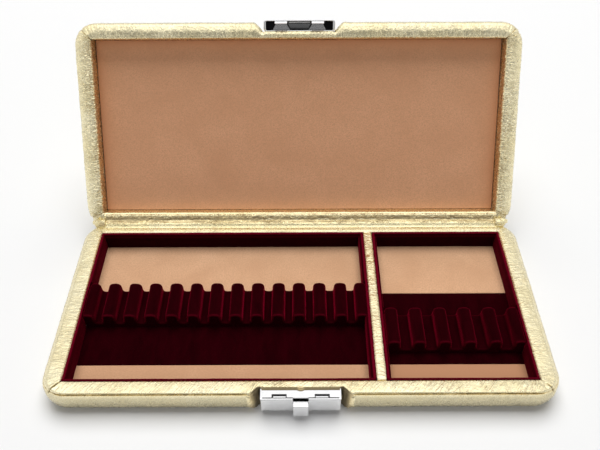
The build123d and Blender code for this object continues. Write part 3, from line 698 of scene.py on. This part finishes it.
GOLD_BASE = gold_leather("base", 1.0, 0.26, 0.45, 0.125, 0.25, 0.70, 0.22)
GOLD_LID = gold_leather("lid", 1.0, 0.34, 0.40, 0.20, 0.3, 0.40, 0.2)
GOLD_LID_SIDE = gold_leather("lid sides", 0.85, 0.24, 1.25, 0.14, 0.8, 0.95, 0.2)
GOLD_FLAT = gold_leather("panels", 0.3, 0.3, 0.20, 0.15)
GOLD_HINGE = gold_leather("hinge strip", 0.8, 0.9, 0.50, 0.22, 0.7, 0.5, warm=0.35)
VELVET = velvet("burgundy velvet", 0.60)
# A copy with less sheen for the walls, a shaded copy that renders them darker as if in shade
VELVET_WALL = velvet("burgundy velvet, walls", 0.36)
SUEDE = suede("tan suede, floor", (0.75, 0.455, 0.275), (0.64, 0.37, 0.214))
# The lid's suede is the floor's suede painted paler, a lit copy that makes up for the lesser light on the lid
SUEDE_LID = suede("tan suede, lid", (0.88, 0.475, 0.275), (0.79, 0.41, 0.23))
CHROME = chrome("plated metal", (0.78, 0.78, 0.785), 0.10)
CHROME_LUG = chrome("plated metal, lugs", (0.74, 0.74, 0.745), 0.22)
STEEL = chrome("hinge steel", (0.62, 0.60, 0.56), 0.28)
BOARD = greyboard("pressed board", (0.26, 0.20, 0.14), (0.40, 0.32, 0.23))
# The rack cores are near black, painted shade where they show past the velvet
SHADE_CORE = greyboard("rack core, painted dark as shade", (0.020, 0.004, 0.004), (0.035, 0.008, 0.007))

# The first of these that is part of a CAD node's name gives its material
NODE_LOOKS = (("rack_bar", SHADE_CORE), ("rack_ribs", SHADE_CORE), ("board", BOARD), ("hinge_", STEEL), ("", CHROME))
for name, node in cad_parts.items():
    node.data.materials.clear()
    node.data.materials.append(next(material for part, material in NODE_LOOKS if part in name))

# ---- leather on both halves ----
# crown: how much the rim domes. inner: radius of its inner edge, also at the back and front. lip_in, lip_r: the
# lip's inset and radius. groove: the seam's depth. across, along: fold heights on the short and the long sides.
# grow: how far the padding bulges to the left, right and front. over: the reach over the latch.
BASE_STYLE = SimpleNamespace(
    crown=0.10, inner=0.9, inner_front=0.9, inner_back=1.9, lip_in=1.55, lip_r=0.6, groove=0.25, across=0.11,
    along=0.06, grow=(1.25, 1.3, 0.05), shift=0.0, seam=1.0, over=0.5, recess_lip=0.4, edge_dark=0.04,
)
LID_STYLE = SimpleNamespace(
    crown=0.38, inner=0.9, inner_front=1.3, inner_back=2.8, lip_in=0.30, lip_r=2.1, groove=0.25, across=0.16,
    along=0.07, grow=(0.85, 0.95, 0.1), shift=0.35, seam=0.0, over=0.7, recess_lip=0.9, edge_dark=0.16,
)
for side in ("front", "right", "back", "left"):
    wrap(side, "base", BASE_H, BASE_FLAP, BASE_STYLE, on_base, f"base_leather_{side}", GOLD_BASE)
    lid_side = {"right": "left", "left": "right"}.get(side, side)
    gold = GOLD_LID if side == lid_side else GOLD_LID_SIDE
    wrap(side, "lid", LID_H, LID_PANEL_DEPTH, LID_STYLE, on_lid, f"lid_leather_{lid_side}", gold)


def outer_sheet(name, height, place, body, seed):
    """The flat leather panel on the outer face of a half, lightly quilted by its padding."""
    def swell(x, y, away):
        return 0.05 * layered(x / 14, y / 11, 0, seed, 3) - 0.05 - 0.12 * bell(away, 1.6, 0.35)

    w, d = CASE_W - 2 * SHEET_INSET + 0.4, CASE_D - 2 * SHEET_INSET + 0.4
    p, f, uv = slab(w, d, SHEET_R + 0.2, 1.6, 0.9, 0.5, swell)
    p[:, 2] = np.where(p[:, 2] > 0.3, np.minimum(p[:, 2], 0.895), p[:, 2])
    # The upper face points away from the mouth
    p = p * np.array([1, -1, -1]) + np.array([0, 0, -height + 0.9])
    piece(name, place(p), f, GOLD_FLAT, body, "gold_leather", uv, 40)


outer_sheet("base_leather_bottom", BASE_H, on_base, "base", 7)
outer_sheet("lid_leather_top", LID_H, on_lid, "lid", 8)


# ---- hinge strip and spine ----
def strip(name, section, half_len, thickness, ruffle, marks=None):
    """A leather strip along the hinge from a section of (y, z) points, with end edges and rumples."""
    line = rounded_path(section, [0.35] * (len(section) - 2), 0.22)
    run = lengths(line)
    x, r = np.meshgrid(np.linspace(-half_len, half_len, int(half_len * 2 / 0.6)), run, indexing="ij")
    grid = np.stack([x, np.broadcast_to(line[:, 0], x.shape), np.broadcast_to(line[:, 1], x.shape)], -1)
    normal = grid_normals(grid, 0, len(line) // 2)
    grid = grid + normal * ruffle(x, r, run[-1])[..., None]
    values = {key: both_sides(value) for key, value in marks(x, r, run[-1]).items()} if marks else {}
    return tube(name, both_sides(grid, grid - normal * thickness), GOLD_HINGE, slot="gold_leather",
                uv=(both_sides(x), both_sides(r)), sharp=50, **values)


def ring(radius, angle):
    """(y, z) of a place round the hinge's axis."""
    return (HINGE_Y + radius * cos(radians(angle)), HINGE[2] + radius * sin(radians(angle)))


# (y, height over the rim) from the base's inner edge, over the gutter, up to the lid's roll and down to its panel
GUSSET_SECTION = [
    (44.95, -2.6), (44.98, -1.2), (45.2, -0.55), (45.6, -0.15), (46.15, 0.02), (46.45, -0.08), (46.8, 0.03),
    (47.5, -0.02), (48.05, 0.02), (49.65, 1.30), (50.53, 1.59), (51.51, 1.78), (51.9, 2.16), (52.87, 3.84),
    (53.13, 4.10), (53.60, 4.36), (54.25, 4.60), (54.9, 4.68), (55.4, 4.56), (55.72, 4.25), (56.0, 3.75), (57.0, 2.9),
]


def gusset_ruffle(x, r, total):
    wide = layered(x / 2.6 + 0.8 * noise(x / 5, r / 2, 0, 64), r / 1.2, 0, 61, 3)
    return bell(r, total * 0.56, total * 0.08) * 0.20 * wide + 0.025 * layered(x / 5.5, r / 2, 0, 62, 2)


def gusset_marks(x, r, total):
    """Painted shade and calm values across the strip: painted dark lines in the groove, the gutter, the valley and
    along the lid's roll, and on the base's side a darker foil painted as shade.
    """
    t = r / total
    groove = 0.10 * bell(t, 0.208, 0.014)
    lid_line = 0.30 * bell(t, 0.665, 0.05) * np.clip(0.65 + 0.8 * layered(x / 1.5, t * 14, 0, 67, 3), 0, 1.4)
    gutter = 0.38 * bell(t, 0.50, 0.045) * np.clip(0.75 + 0.7 * layered(x / 3.0, t * 9, 0, 68, 2), 0.2, 1.2)
    dark = np.clip(groove + lid_line + 0.42 * bell(t, 0.59, 0.04) + gutter, 0, 1)
    calm = np.clip(0.92 * step(t, 0.735, 0.77) + 0.75 * (1 - step(t, 0.36, 0.42)), 0, 1)
    return {"crevice": np.where(dark < 0.03, -0.20 * (1 - step(t, 0.24, 0.32)), dark), "calm": calm}


section = [(y, BASE_H + z) for y, z in GUSSET_SECTION]
gusset = strip("hinge_gusset", section, HALF_W + 0.1, 0.2, gusset_ruffle, gusset_marks)


def neck(name, sign):
    """Puckered leather that fills the notch beside the hinge, over the rounded corners."""
    start, tip = 103.2, 110.0
    t, f = np.meshgrid(np.linspace(0, 1, 34), np.radians(np.linspace(214, 26, 46)), indexing="ij")
    toward_lid = bell(f, radians(78), radians(34))
    x = start + (5.6 + 0.4 * np.cos(f - radians(70)) + 0.9 * toward_lid) * np.sin(t * pi / 2)
    r = (2.2 + 0.75 * toward_lid) * np.maximum(np.cos(t * pi / 2), 0) ** 0.34 + 0.05
    gather = layered(f * 3.4 + 0.5 * noise(x / 2, f, 0, 66), x / 4.5, sign, 65, 3)
    r = r * (1 + 0.09 * gather * step(t, 0.0, 0.25))
    points = np.stack([sign * x, HINGE_Y + r * np.cos(f), HINGE[2] + r * np.sin(f)], -1)
    core = np.array([[sign * start, HINGE_Y, HINGE[2]], [sign * tip, HINGE_Y, HINGE[2]]])
    rows, columns = points.shape[:2]
    a, b, last = rows * columns, rows * columns + 1, (rows - 1) * columns
    faces = grid_faces(rows, columns) + [[j + 1, j, a] for j in range(columns - 1)]
    faces += [[last + j, last + j + 1, b] for j in range(columns - 1)]
    faces.append([i * columns for i in range(rows)] + [b, a])
    faces.append([a, b] + [i * columns + columns - 1 for i in range(rows - 1, -1, -1)])
    # Painted shade in the deeper gathers
    dark = np.append(np.clip(-gather * 1.1 - 0.35, 0, 0.35), [0, 0])
    uv = (np.append(x, [0, 0]), np.append(2 * f, [0, 0]))
    points = np.concatenate([points.reshape(-1, 3), core])
    return piece(name, points, faces, GOLD_HINGE, None, "gold_leather", uv, 50, replaces=False, crevice=dark)


necks = [neck("hinge_neck_left", -1), neck("hinge_neck_right", 1)]
spine_section = [ring(1.3, -80), ring(2.0, -72), ring(2.15, -61), ring(2.0, -50), ring(1.3, -42)]
spine = strip("hinge_spine", spine_section, HALF_W, 0.25, lambda x, r, total: 0.04 * noise(x / 4, r, 0, 71))
for made in (gusset, *necks):
    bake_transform(made)
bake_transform(spine)


# ---- lid lining ----
def lid_swell(x, y, away):
    return 0.10 * layered(x / 30, y / 22, 0, 81, 3) - 0.10 * bell(away, 2.6, 0.3)


p, f, uv = slab(MOUTH_W - 0.3, MOUTH_D - 0.1, 0.5, 1.6, 1.2, 0.3, lid_swell)
edge = np.minimum(HALF_W - np.abs(p[:, 0]), HALF_D + p[:, 1])
shade = np.clip(0.9 * np.exp(-edge / 2.5) + 0.25 * np.exp(-edge / 9.0), 0, 1)
p = p + np.array([LID_STYLE.shift, 0, -LID_PANEL_DEPTH - 1.2])
piece("lid_suede_panel", on_lid(p), f, SUEDE_LID, "lid", "lid_suede", uv, 40, turn="none", crevice=shade)


# ---- divider cover ----
def divider_cover():
    """The leather folded over the divider, dented at its two ends."""
    half = DIVIDER_W / 2
    side = [(-half, LINING_Z), (-half, BASE_H - 1.3), (-half + 0.35, BASE_H - 0.35), (-half + 1.1, BASE_H + 0.02)]
    line = rounded_path(side + [(-x, z) for x, z in side[::-1]], [0.6] * 6, 0.3)
    run = lengths(line)
    y, r = np.meshgrid(np.linspace(-HALF_D - 0.4, HALF_D + 0.4, 150), run, indexing="ij")
    grid = np.stack([np.broadcast_to(line[:, 0] + DIVIDER_X, y.shape), y, np.broadcast_to(line[:, 1], y.shape)], -1)
    normal = grid_normals(grid, 40, len(line) // 2)
    top = bell(r, run[-1] / 2, 3.2)
    d = top * (0.10 * layered(y / 2.4, r / 3.0, 0, 91, 3)) - 0.35 * bell(np.abs(y), 43.9, 0.5) * top
    grid = grid + normal * d[..., None]
    tube("divider_leather", both_sides(grid, grid - normal * 0.6), GOLD_BASE, body="base", slot="gold_leather",
         uv=(both_sides(y), both_sides(r)))


divider_cover()


# ---- velvet liners ----
def liner(name, start, along, length, inward, seed, thick=1.4, over=0.12, pressed=None):
    """A velvet covered strip along one wall, with a soft roll at its top. A rack presses it in along pressed."""
    # A soft roll at the top, a valley and the wall, as (distance from the wall, height)
    section = [
        (-over, -10.65), (-over, -1.2), (-over * 0.6, -0.58), (0.25 - over * 0.4, -0.24), (0.60, -0.14), (0.96, -0.30),
        (1.14, -0.72), (1.08, -1.18), (thick - 0.32, -1.62), (thick - 0.15, -2.15), (thick, -2.9), (thick, -5.0),
        (thick - 0.12, -9.2), (thick - 0.25, -10.65),
    ]
    line = rounded_path(section, [0.1] * (len(section) - 2), 0.24)
    run = lengths(line)
    t, r = np.meshgrid(np.linspace(0, length, max(12, int(length / 0.8))), run, indexing="ij")
    q, z = (np.broadcast_to(line[:, k], t.shape) for k in (0, 1))
    roll = step(z, -3.0, -0.6)
    if pressed:
        hold = step(t, pressed[0] - 0.5, pressed[0] + 0.5) * (1 - step(t, pressed[1] - 0.5, pressed[1] + 0.5))
        hold = hold * step(-z, 0.3, 1.0)
        q = np.where(q > 0.3, 0.3 + (q - 0.3) * (1 - (1 - 0.05 / (thick - 0.3)) * hold), q)
    q = q + 0.05 * layered(t / 9, z / 4, 0, seed, 2) * (q > 0.5)
    z = z + roll * 0.06 * layered(t / 6, 0 * t, 0, seed + 1, 2)
    start, along, inward = (np.array(v, float) for v in (start, along, inward))
    xy = start + t[..., None] * along + q[..., None] * inward
    # Painted sheen on the top roll, and a faint band lower down on the inner face
    crest = step(z, -0.95, -0.25) + 0.30 * bell(z, -2.1, 0.55) * (q > 1.0)
    ridge = np.clip((0.5 if "front" in name else 0.8) * crest, 0, 1)
    grid = np.concatenate([xy, (z + BASE_H)[..., None]], -1)
    tube(name, grid, VELVET_WALL, body="base", slot="velvet", uv=(t, r), ridge=ridge)


ROOMS = {"left": (-HALF_W, DIVIDER_X - DIVIDER_W / 2), "right": (DIVIDER_X + DIVIDER_W / 2, HALF_W)}
RACK_Y = {"left": -8.8, "right": -24.3}
# Thickness and reach over the leather of a room's left and right liner, thicker beside the divider
LINER_KINDS = {"left": ((1.4, 0.12), (2.1, 0.38)), "right": ((2.1, 0.38), (1.4, 0.12))}
# The liners at the ends stop this far from the corners
CLEAR = 1.0
for k, (room, (x0, x1)) in enumerate(ROOMS.items()):
    liner(f"{room}_liner_front", (x0, -HALF_D), (1, 0), x1 - x0, (0, 1), 101 + k)
    liner(f"{room}_liner_back", (x0, HALF_D), (1, 0), x1 - x0, (0, -1), 111 + k, 1.4, 0.75)
    y0 = RACK_Y[room] + HALF_D - CLEAR
    for side, x, inward, seed, kind in zip(("left", "right"), (x0, x1), (1, -1), (121, 131), LINER_KINDS[room]):
        liner(f"{room}_liner_{side}", (x, -HALF_D + CLEAR), (0, 1), MOUTH_D - 2 * CLEAR, (inward, 0), seed + k, *kind,
              pressed=(y0, y0 + RACK_DEPTH))


# ---- compartment floors ----
def floor_pad(name, x0, x1, y0, y1, material, slot, seed, line_back=False, shade=0.0):
    """One floor panel. line_back presses a line along its rear edge."""
    w, d = x1 - x0, y1 - y0

    def swell(x, y, away):
        line = 0.13 * bell(d / 2 - y, 1.9, 0.35) if line_back else 0.0
        return 0.05 * layered(x / 11, y / 9, 0, seed, 3) + 0.10 * step(away, 0.3, 5) - line

    p, f, uv = slab(w, d, 0.6, 0.9, FLOOR_TOP - LINING_Z, 0.35, swell)
    p = p + np.array([(x0 + x1) / 2, (y0 + y1) / 2, LINING_Z])
    piece(name, p, f, material, "base", slot, uv, 40, crevice=np.full(len(p), shade))


for k, (room, (x0, x1)) in enumerate(ROOMS.items()):
    a, b, y_end, gap = x0 + 1.0, x1 - 1.0, HALF_D - 1.0, 0.05
    front_shade = {"left": 0.35, "right": 1.0}[room]
    floor_pad(f"{room}_suede_front", a, b, -y_end, BAND_FRONT - gap, SUEDE, "suede", 141 + k, shade=front_shade)
    floor_pad(f"{room}_floor_velvet", a, b, BAND_FRONT + gap, BAND_BACK - gap, VELVET, "velvet", 151 + k)
    floor_pad(f"{room}_suede_back", a, b, BAND_BACK + gap, y_end, SUEDE, "suede", 161 + k, True)


# ---- reed racks ----
def rack_cover(room, count, pitch, first_x, seed):
    """The corrugated velvet over one rack: round ribs on spread feet, rolled front and back edges."""
    x_low, x_high = ROOMS[room][0] + 0.25, ROOMS[room][1] - 0.25
    y0 = RACK_Y[room]
    floor_z, rib_h, top_r, foot = 5.4, 6.2, 2.75, 3.3
    centre_z = floor_z + rib_h - top_r
    tilt = radians(6.0)
    side = [(-foot - 0.75, floor_z), (-foot - 0.30, floor_z + 0.14), (-foot, floor_z + 0.5)]
    side.append((-foot + 0.12, floor_z + 1.3))
    turns = np.linspace(tilt, pi - tilt, 19)
    arc = [(-3.08 * np.sign(cos(f)) * abs(cos(f)) ** 0.78, centre_z + top_r * sin(f) ** 0.78) for f in turns]
    rib = side + arc + [(-px, pz) for px, pz in side[::-1]]
    contour = [(x_low, floor_z)]
    for k in range(count):
        cx = first_x + k * pitch
        lean_x = 0.12 * float(noise(k * 1.7, 0.5, 0, seed))
        for px, pz in rib:
            # The outermost ribs end at the liners
            if cx - foot < x_low and px < 0:
                px *= (cx - x_low - 0.1) / foot
            if cx + foot > x_high and px > 0:
                px *= (x_high - cx - 0.1) / foot
            contour.append((cx + px + lean_x * (pz > floor_z + 1.5), pz))
    contour = np.array(contour + [(x_high, floor_z)])
    contour = contour[np.concatenate([[True], np.diff(contour[:, 0]) > 1e-4])]
    contour[:, 0] = np.clip(contour[:, 0], x_low, x_high)
    run = lengths(contour)
    at = np.linspace(0, run[-1], int(run[-1] / 0.42))
    line = np.stack([np.interp(at, run, contour[:, k]) for k in (0, 1)], 1)
    for _ in range(2):
        line[1:-1] = (line[:-2] + 2 * line[1:-1] + line[2:]) / 4
    normal = line_normals(line)
    # From the rolled front edge to the rolled back edge
    edge = 0.9
    turn = np.radians([0, 22, 45, 67, 90])
    spots = [(y0 + edge * (1 - np.sin(f)), edge * (1 - np.cos(f))) for f in turn[::-1]]
    spots += [(y, 0.0) for y in np.linspace(y0 + edge, y0 + RACK_DEPTH - edge, 26)[1:-1]]
    spots += [(y0 + RACK_DEPTH - edge * (1 - np.sin(f)), edge * (1 - np.cos(f))) for f in turn]

    def row(y, sink):
        across = line - normal * sink
        return np.stack([across[:, 0], np.full(len(line), y), across[:, 1]], 1)

    grid = np.stack([row(y, sink) for y, sink in spots], 0)
    xx, yy, zz = grid[..., 0], grid[..., 1], grid[..., 2]
    raised = step(zz, floor_z + 0.5, floor_z + 3)
    bend = 0.10 * layered(xx / 6, yy / 7, 0, seed, 2) * raised
    grid[..., 0] = np.clip(xx + bend, x_low, x_high)
    grid[..., 2] = zz + 0.10 * raised * layered(xx / 5, yy / 8, 0, seed + 1, 2)

    # Front and back faces hang from the rolled edges down to the floor, set a little inside them
    def apron(y):
        out = []
        for t in (0.0, 0.06, 0.3, 0.65, 1.0):
            hung = row(y, edge + 0.12)
            hung[:, 2] = hung[:, 2] + (FLOOR_TOP - 0.1 - hung[:, 2]) * t
            out.append(hung)
        return out

    full = np.concatenate([np.stack(apron(y0 + 0.2)[::-1], 0), grid, np.stack(apron(y0 + RACK_DEPTH - 0.2), 0)], 0)
    full[..., 0] = np.clip(full[..., 0], x_low, x_high)
    rows, columns = full.shape[:2]
    faces = grid_faces(rows, columns)
    # Underside and ends close the cover
    faces.append([(rows - 1) * columns + j for j in range(columns)] + list(range(columns - 1, -1, -1)))
    faces += [[i * columns for i in range(rows)], [i * columns + columns - 1 for i in range(rows)][::-1]]
    fx, fy, fz = full[..., 0], full[..., 1], full[..., 2]
    # Painted sheen on the rolled front and back edges, in patches on the ribs' flanks and at the ends by the liners
    ridge = bell(fy, y0 + 0.3, 0.35) + 1.2 * bell(fy, y0 + RACK_DEPTH - 0.3, 0.35)
    ridge = ridge * (0.15 + 0.45 * step(fz, floor_z + 0.6, floor_z + 3.0))
    flank = 0.11 * step(fz, floor_z + 2.0, floor_z + 4.0) * (1 - step(fz, floor_z + 5.2, floor_z + 6.0))
    ridge = ridge + flank * np.clip(0.5 + 0.9 * layered(fx / 7.0, fy / 9.0, 0, seed + 2, 2), 0, 1.2)
    ridge = ridge + 0.5 * (bell(fx, x_low, 0.4) + bell(fx, x_high, 0.4))
    ridge[:5] = 0
    ridge[-5:] = 0
    uv = (np.broadcast_to(at, (rows, columns)), fy)
    ridge = np.clip(0.85 * ridge, 0, 1)
    piece(f"{room}_rack_velvet", full, faces, VELVET, "base", "velvet", uv, ridge=ridge)


rack_cover("left", 14, 10.06, -101.26, 171)
rack_cover("right", 6, 11.65, 43.0, 181)


# ---- latch pieces on the lid ----
def round_box(half_x, half_y, r, n=6):
    """Points round a rectangle with rounded corners."""
    out = []
    for cx, cy, start in ((1, 1, 0), (-1, 1, 90), (-1, -1, 180), (1, -1, 270)):
        for f in np.radians(np.linspace(start, start + 90, n)):
            out.append((cx * (half_x - r) + r * cos(f), cy * (half_y - r) + r * sin(f)))
    return np.array(out)


def latch_cover():
    """The hollow plated cover in the lid, with a rolled rim whose lower bar is sunk."""
    # Inset and height of each ring, from the outside over the rim into the hollow
    rings = [(0.9, -9.0), (0.3, -9.0), (0.0, -8.7), (0.0, -0.3), (0.05, -0.12), (0.16, 0.0), (0.3, 0.04),
             (0.44, 0.0), (0.55, -0.12), (0.6, -0.3), (0.6, -0.9), (0.6, -6.2), (2.0, -6.2)]
    hollow = 10
    points = []
    for inset, z in rings:
        outline = round_box(17.85 - inset * 1.9, 2.75 - inset, max(1.25 - inset, 0.2))
        sunk = 0.75 * step(outline[:, 1:2], 1.2, 2.2) * (z > -0.9)
        points.append(np.concatenate([outline + [0, -50.75], z - sunk], 1))
    points = np.stack(points, 0)
    # Painted shade inside the hollow
    dark = np.repeat([float(k >= hollow) for k in range(len(rings))], points.shape[1])
    tube("lid_latch_cover", on_lid(points), CHROME, body="lid", slot="chrome", sharp=35, crevice=dark)


def prism(outline, x0, x1, bevel=0.12):
    """A plate from an outline of (y, z) points between two x, with its ends bevelled."""
    outline = np.array(outline, float)
    arms = outline - outline.mean(0)
    small = outline.mean(0) + arms * (1 - bevel / np.linalg.norm(arms, axis=1, keepdims=True))
    rings = [(x0, small), (x0 + bevel, outline), (x1 - bevel, outline), (x1, small)]
    n = len(outline)
    points = np.concatenate([np.column_stack([np.full(n, x), r]) for x, r in rings])
    return points, grid_faces(4, n, wrap=True) + [list(range(n)), list(range(3 * n, 4 * n))[::-1]]


def plate(plan, z_front, z_back, thick):
    """A flat plate from an outline of (x, y) points, sloping from its front to its back."""
    plan = np.array(plan, float)
    y = plan[:, 1]
    z = z_front + (z_back - z_front) * (y - y.min()) / (y.max() - y.min())
    n = len(plan)
    points = np.concatenate([np.column_stack([plan, z]), np.column_stack([plan, z - thick])])
    edges = [[i, (i + 1) % n, (i + 1) % n + n, i + n] for i in range(n)]
    return points, [list(range(n)), list(range(n, 2 * n))[::-1]] + edges


def lug_bracket():
    """The two hooked lugs with slanted noses, their trapezoid plates and the strut between them."""
    nose = [(-52.73, -6.1), (-52.73, 3.0), (-52.66, 3.25), (-52.5, 3.42), (-51.78, 3.98), (-51.62, 4.02),
            (-51.53, 3.9), (-51.53, 3.5), (-51.62, 3.38), (-51.95, 3.3), (-52.08, 3.18), (-52.13, 3.0), (-52.13, -6.1)]
    strut = [(-52.73, -6.1), (-52.73, -0.75), (-52.6, -0.6), (-52.26, -0.6), (-52.13, -0.75), (-52.13, -6.1)]
    foot = [(-52.73, -6.15), (-52.73, -5.7), (-52.6, -5.6), (-48.75, -5.6), (-48.7, -6.15)]
    wing = [(4.6, -48.75), (13.3, -48.75), (12.0, -51.2), (11.9, -52.4), (6.2, -52.4), (6.2, -51.2)]
    sunk = [(-5.7, -51.9), (5.7, -51.9), (4.1, -49.0), (-4.1, -49.0)]
    # Each part with how much painted shade it gets
    parts = []
    for side in (-1, 1):
        parts.append((*prism(nose, side * 9.1 - 3.05, side * 9.1 + 3.05), 0.0))
        parts.append((*plate([(side * x, y) for x, y in wing], -1.5, -1.9, 0.6), 0.12))
    parts.append((*prism(strut, -5.4, 5.4), 0.0))
    parts.append((*prism(foot, -12.15, 12.15), 0.9))
    parts.append((*plate(sunk, -2.4, -3.2, 0.5), 0.72))
    points, faces, dark = [], [], []
    for p, f, shade in parts:
        faces += [[k + len(dark) for k in face] for face in f]
        points.append(p)
        dark += [shade] * len(p)
    points = on_lid(np.concatenate(points))
    piece("lid_lug_bracket", points, faces, CHROME_LUG, "lid", "chrome", sharp=30, turn="each", crevice=dark)


latch_cover()
lug_bracket()


for half, wide, front_area, back_area, end_area in (("base", 30, 5300, 5000, 2520), ("lid", 34, 5590, 5540, 2670)):
    sides = (("front", 224, front_area), ("back", 224, back_area), ("left", 100, end_area), ("right", 100, end_area))

# ---- floor, light and camera ----
mesh = bpy.data.meshes.new("studio floor")
corners = [(-3.0, -0.45), (3.0, -0.45), (3.0, 3.0), (-3.0, 3.0)]
mesh.from_pydata([(x, y, -0.0002) for x, y in corners], [], [(0, 1, 2, 3)])
ground = bpy.data.objects.new("studio floor", mesh)
bpy.context.scene.collection.objects.link(ground)
material = bpy.data.materials.new("studio floor")
material.use_nodes = True
s = Nodes(material.node_tree)
paper = s.add("ShaderNodeBsdfDiffuse", Color=(0.87, 0.87, 0.87, 1))
s.feed(s.add("ShaderNodeOutputMaterial").inputs[0], paper.outputs[0])
mesh.materials.append(material)

world = bpy.data.worlds.new("studio")
bpy.context.scene.world = world
world.use_nodes = True
s = Nodes(world.node_tree)
path = s.add("ShaderNodeLightPath").outputs
direction = s.add("ShaderNodeTexCoord").outputs["Generated"]
dx, dy, dz = s.add("ShaderNodeSeparateXYZ", Vector=direction).outputs


def glow(strength):
    return s.add("ShaderNodeBackground", Color=(1, 1, 1, 1), Strength=strength).outputs[0]


# Metal sees a white room that is dimmer low in front and brightest straight above
room = s.span(s.calc("MULTIPLY_ADD", dz, 0.75, dy), -0.85, 0.15, 0.20, 1.0, True)
sides = s.span(s.calc("ABSOLUTE", dx), 0.25, 0.85, 0.0, 0.30, True)
horizon = s.span(dz, 0.05, 0.30, 0.25, 0.0, True)
room = s.calc("MINIMUM", s.calc("ADD", s.calc("ADD", room, sides), horizon), 1.0)
rise = s.calc("ADD", s.span(dz, 0.12, 0.52, 0.98, 0.70, True), s.span(dz, 0.62, 1.02, 0.0, 1.0, True))
mirror, plain, white = glow(s.calc("MULTIPLY", room, rise)), glow(0.17), glow(1.0)
look = s.join(path["Is Glossy Ray"], plain, mirror)
look = s.join(s.calc("MAXIMUM", path["Is Camera Ray"], path["Is Transmission Ray"]), look, white)
s.feed(s.add("ShaderNodeOutputWorld").inputs[0], look)


def lamp(name, at, target, size, energy):
    data = bpy.data.lights.new(name, "AREA")
    data.shape = "RECTANGLE"
    data.size, data.size_y = size
    data.energy = energy
    made = bpy.data.objects.new(name, data)
    bpy.context.scene.collection.objects.link(made)
    made.location = at
    z = np.array(at) - np.array(target)
    z = z / np.linalg.norm(z)
    x = np.cross([0, 1, 0.001], z)
    x = x / np.linalg.norm(x)
    made.rotation_mode = "QUATERNION"
    made.rotation_quaternion = Matrix(np.stack([x, np.cross(z, x), z], 1).tolist()).to_quaternion()
    made.visible_glossy = False


lamp("overhead softbox", (0.0, 1.05, 2.85), (0, 0.03, 0), (2.6, 2.6), 102.0)
lamp("front fill", (0.0, -2.3, 1.9), (0, 0.03, 0.03), (2.4, 1.2), 12.0)

# The camera that was fitted to the photo: it looks down by PITCH, and YAW and ROLL are almost nothing
PITCH, YAW, ROLL = 0.7939, -0.0007, 0.0041
camera_data = bpy.data.cameras.new("camera")
camera = bpy.data.objects.new("camera", camera_data)
bpy.context.scene.collection.objects.link(camera)
yawed = np.array([[cos(YAW), -sin(YAW), 0], [sin(YAW), cos(YAW), 0], [0, 0, 1]])
pitched = np.array([[1, 0, 0], [0, cos(PITCH), -sin(PITCH)], [0, sin(PITCH), cos(PITCH)]])
rolled = np.array([[cos(ROLL), -sin(ROLL), 0], [sin(ROLL), cos(ROLL), 0], [0, 0, 1]])
to_camera = rolled @ pitched @ np.array([[1.0, 0, 0], [0, 0, 1], [0, -1, 0]]) @ yawed
camera.rotation_mode = "QUATERNION"
camera.rotation_quaternion = Matrix(to_camera.T.tolist()).to_quaternion()
camera.location = (0.000111, -0.202173, 0.268774)
camera_data.sensor_width = 36.0
camera_data.lens = 40.589
camera_data.clip_start = 0.01
bpy.context.scene.camera = camera
bpy.context.scene.view_settings.view_transform = "Standard"
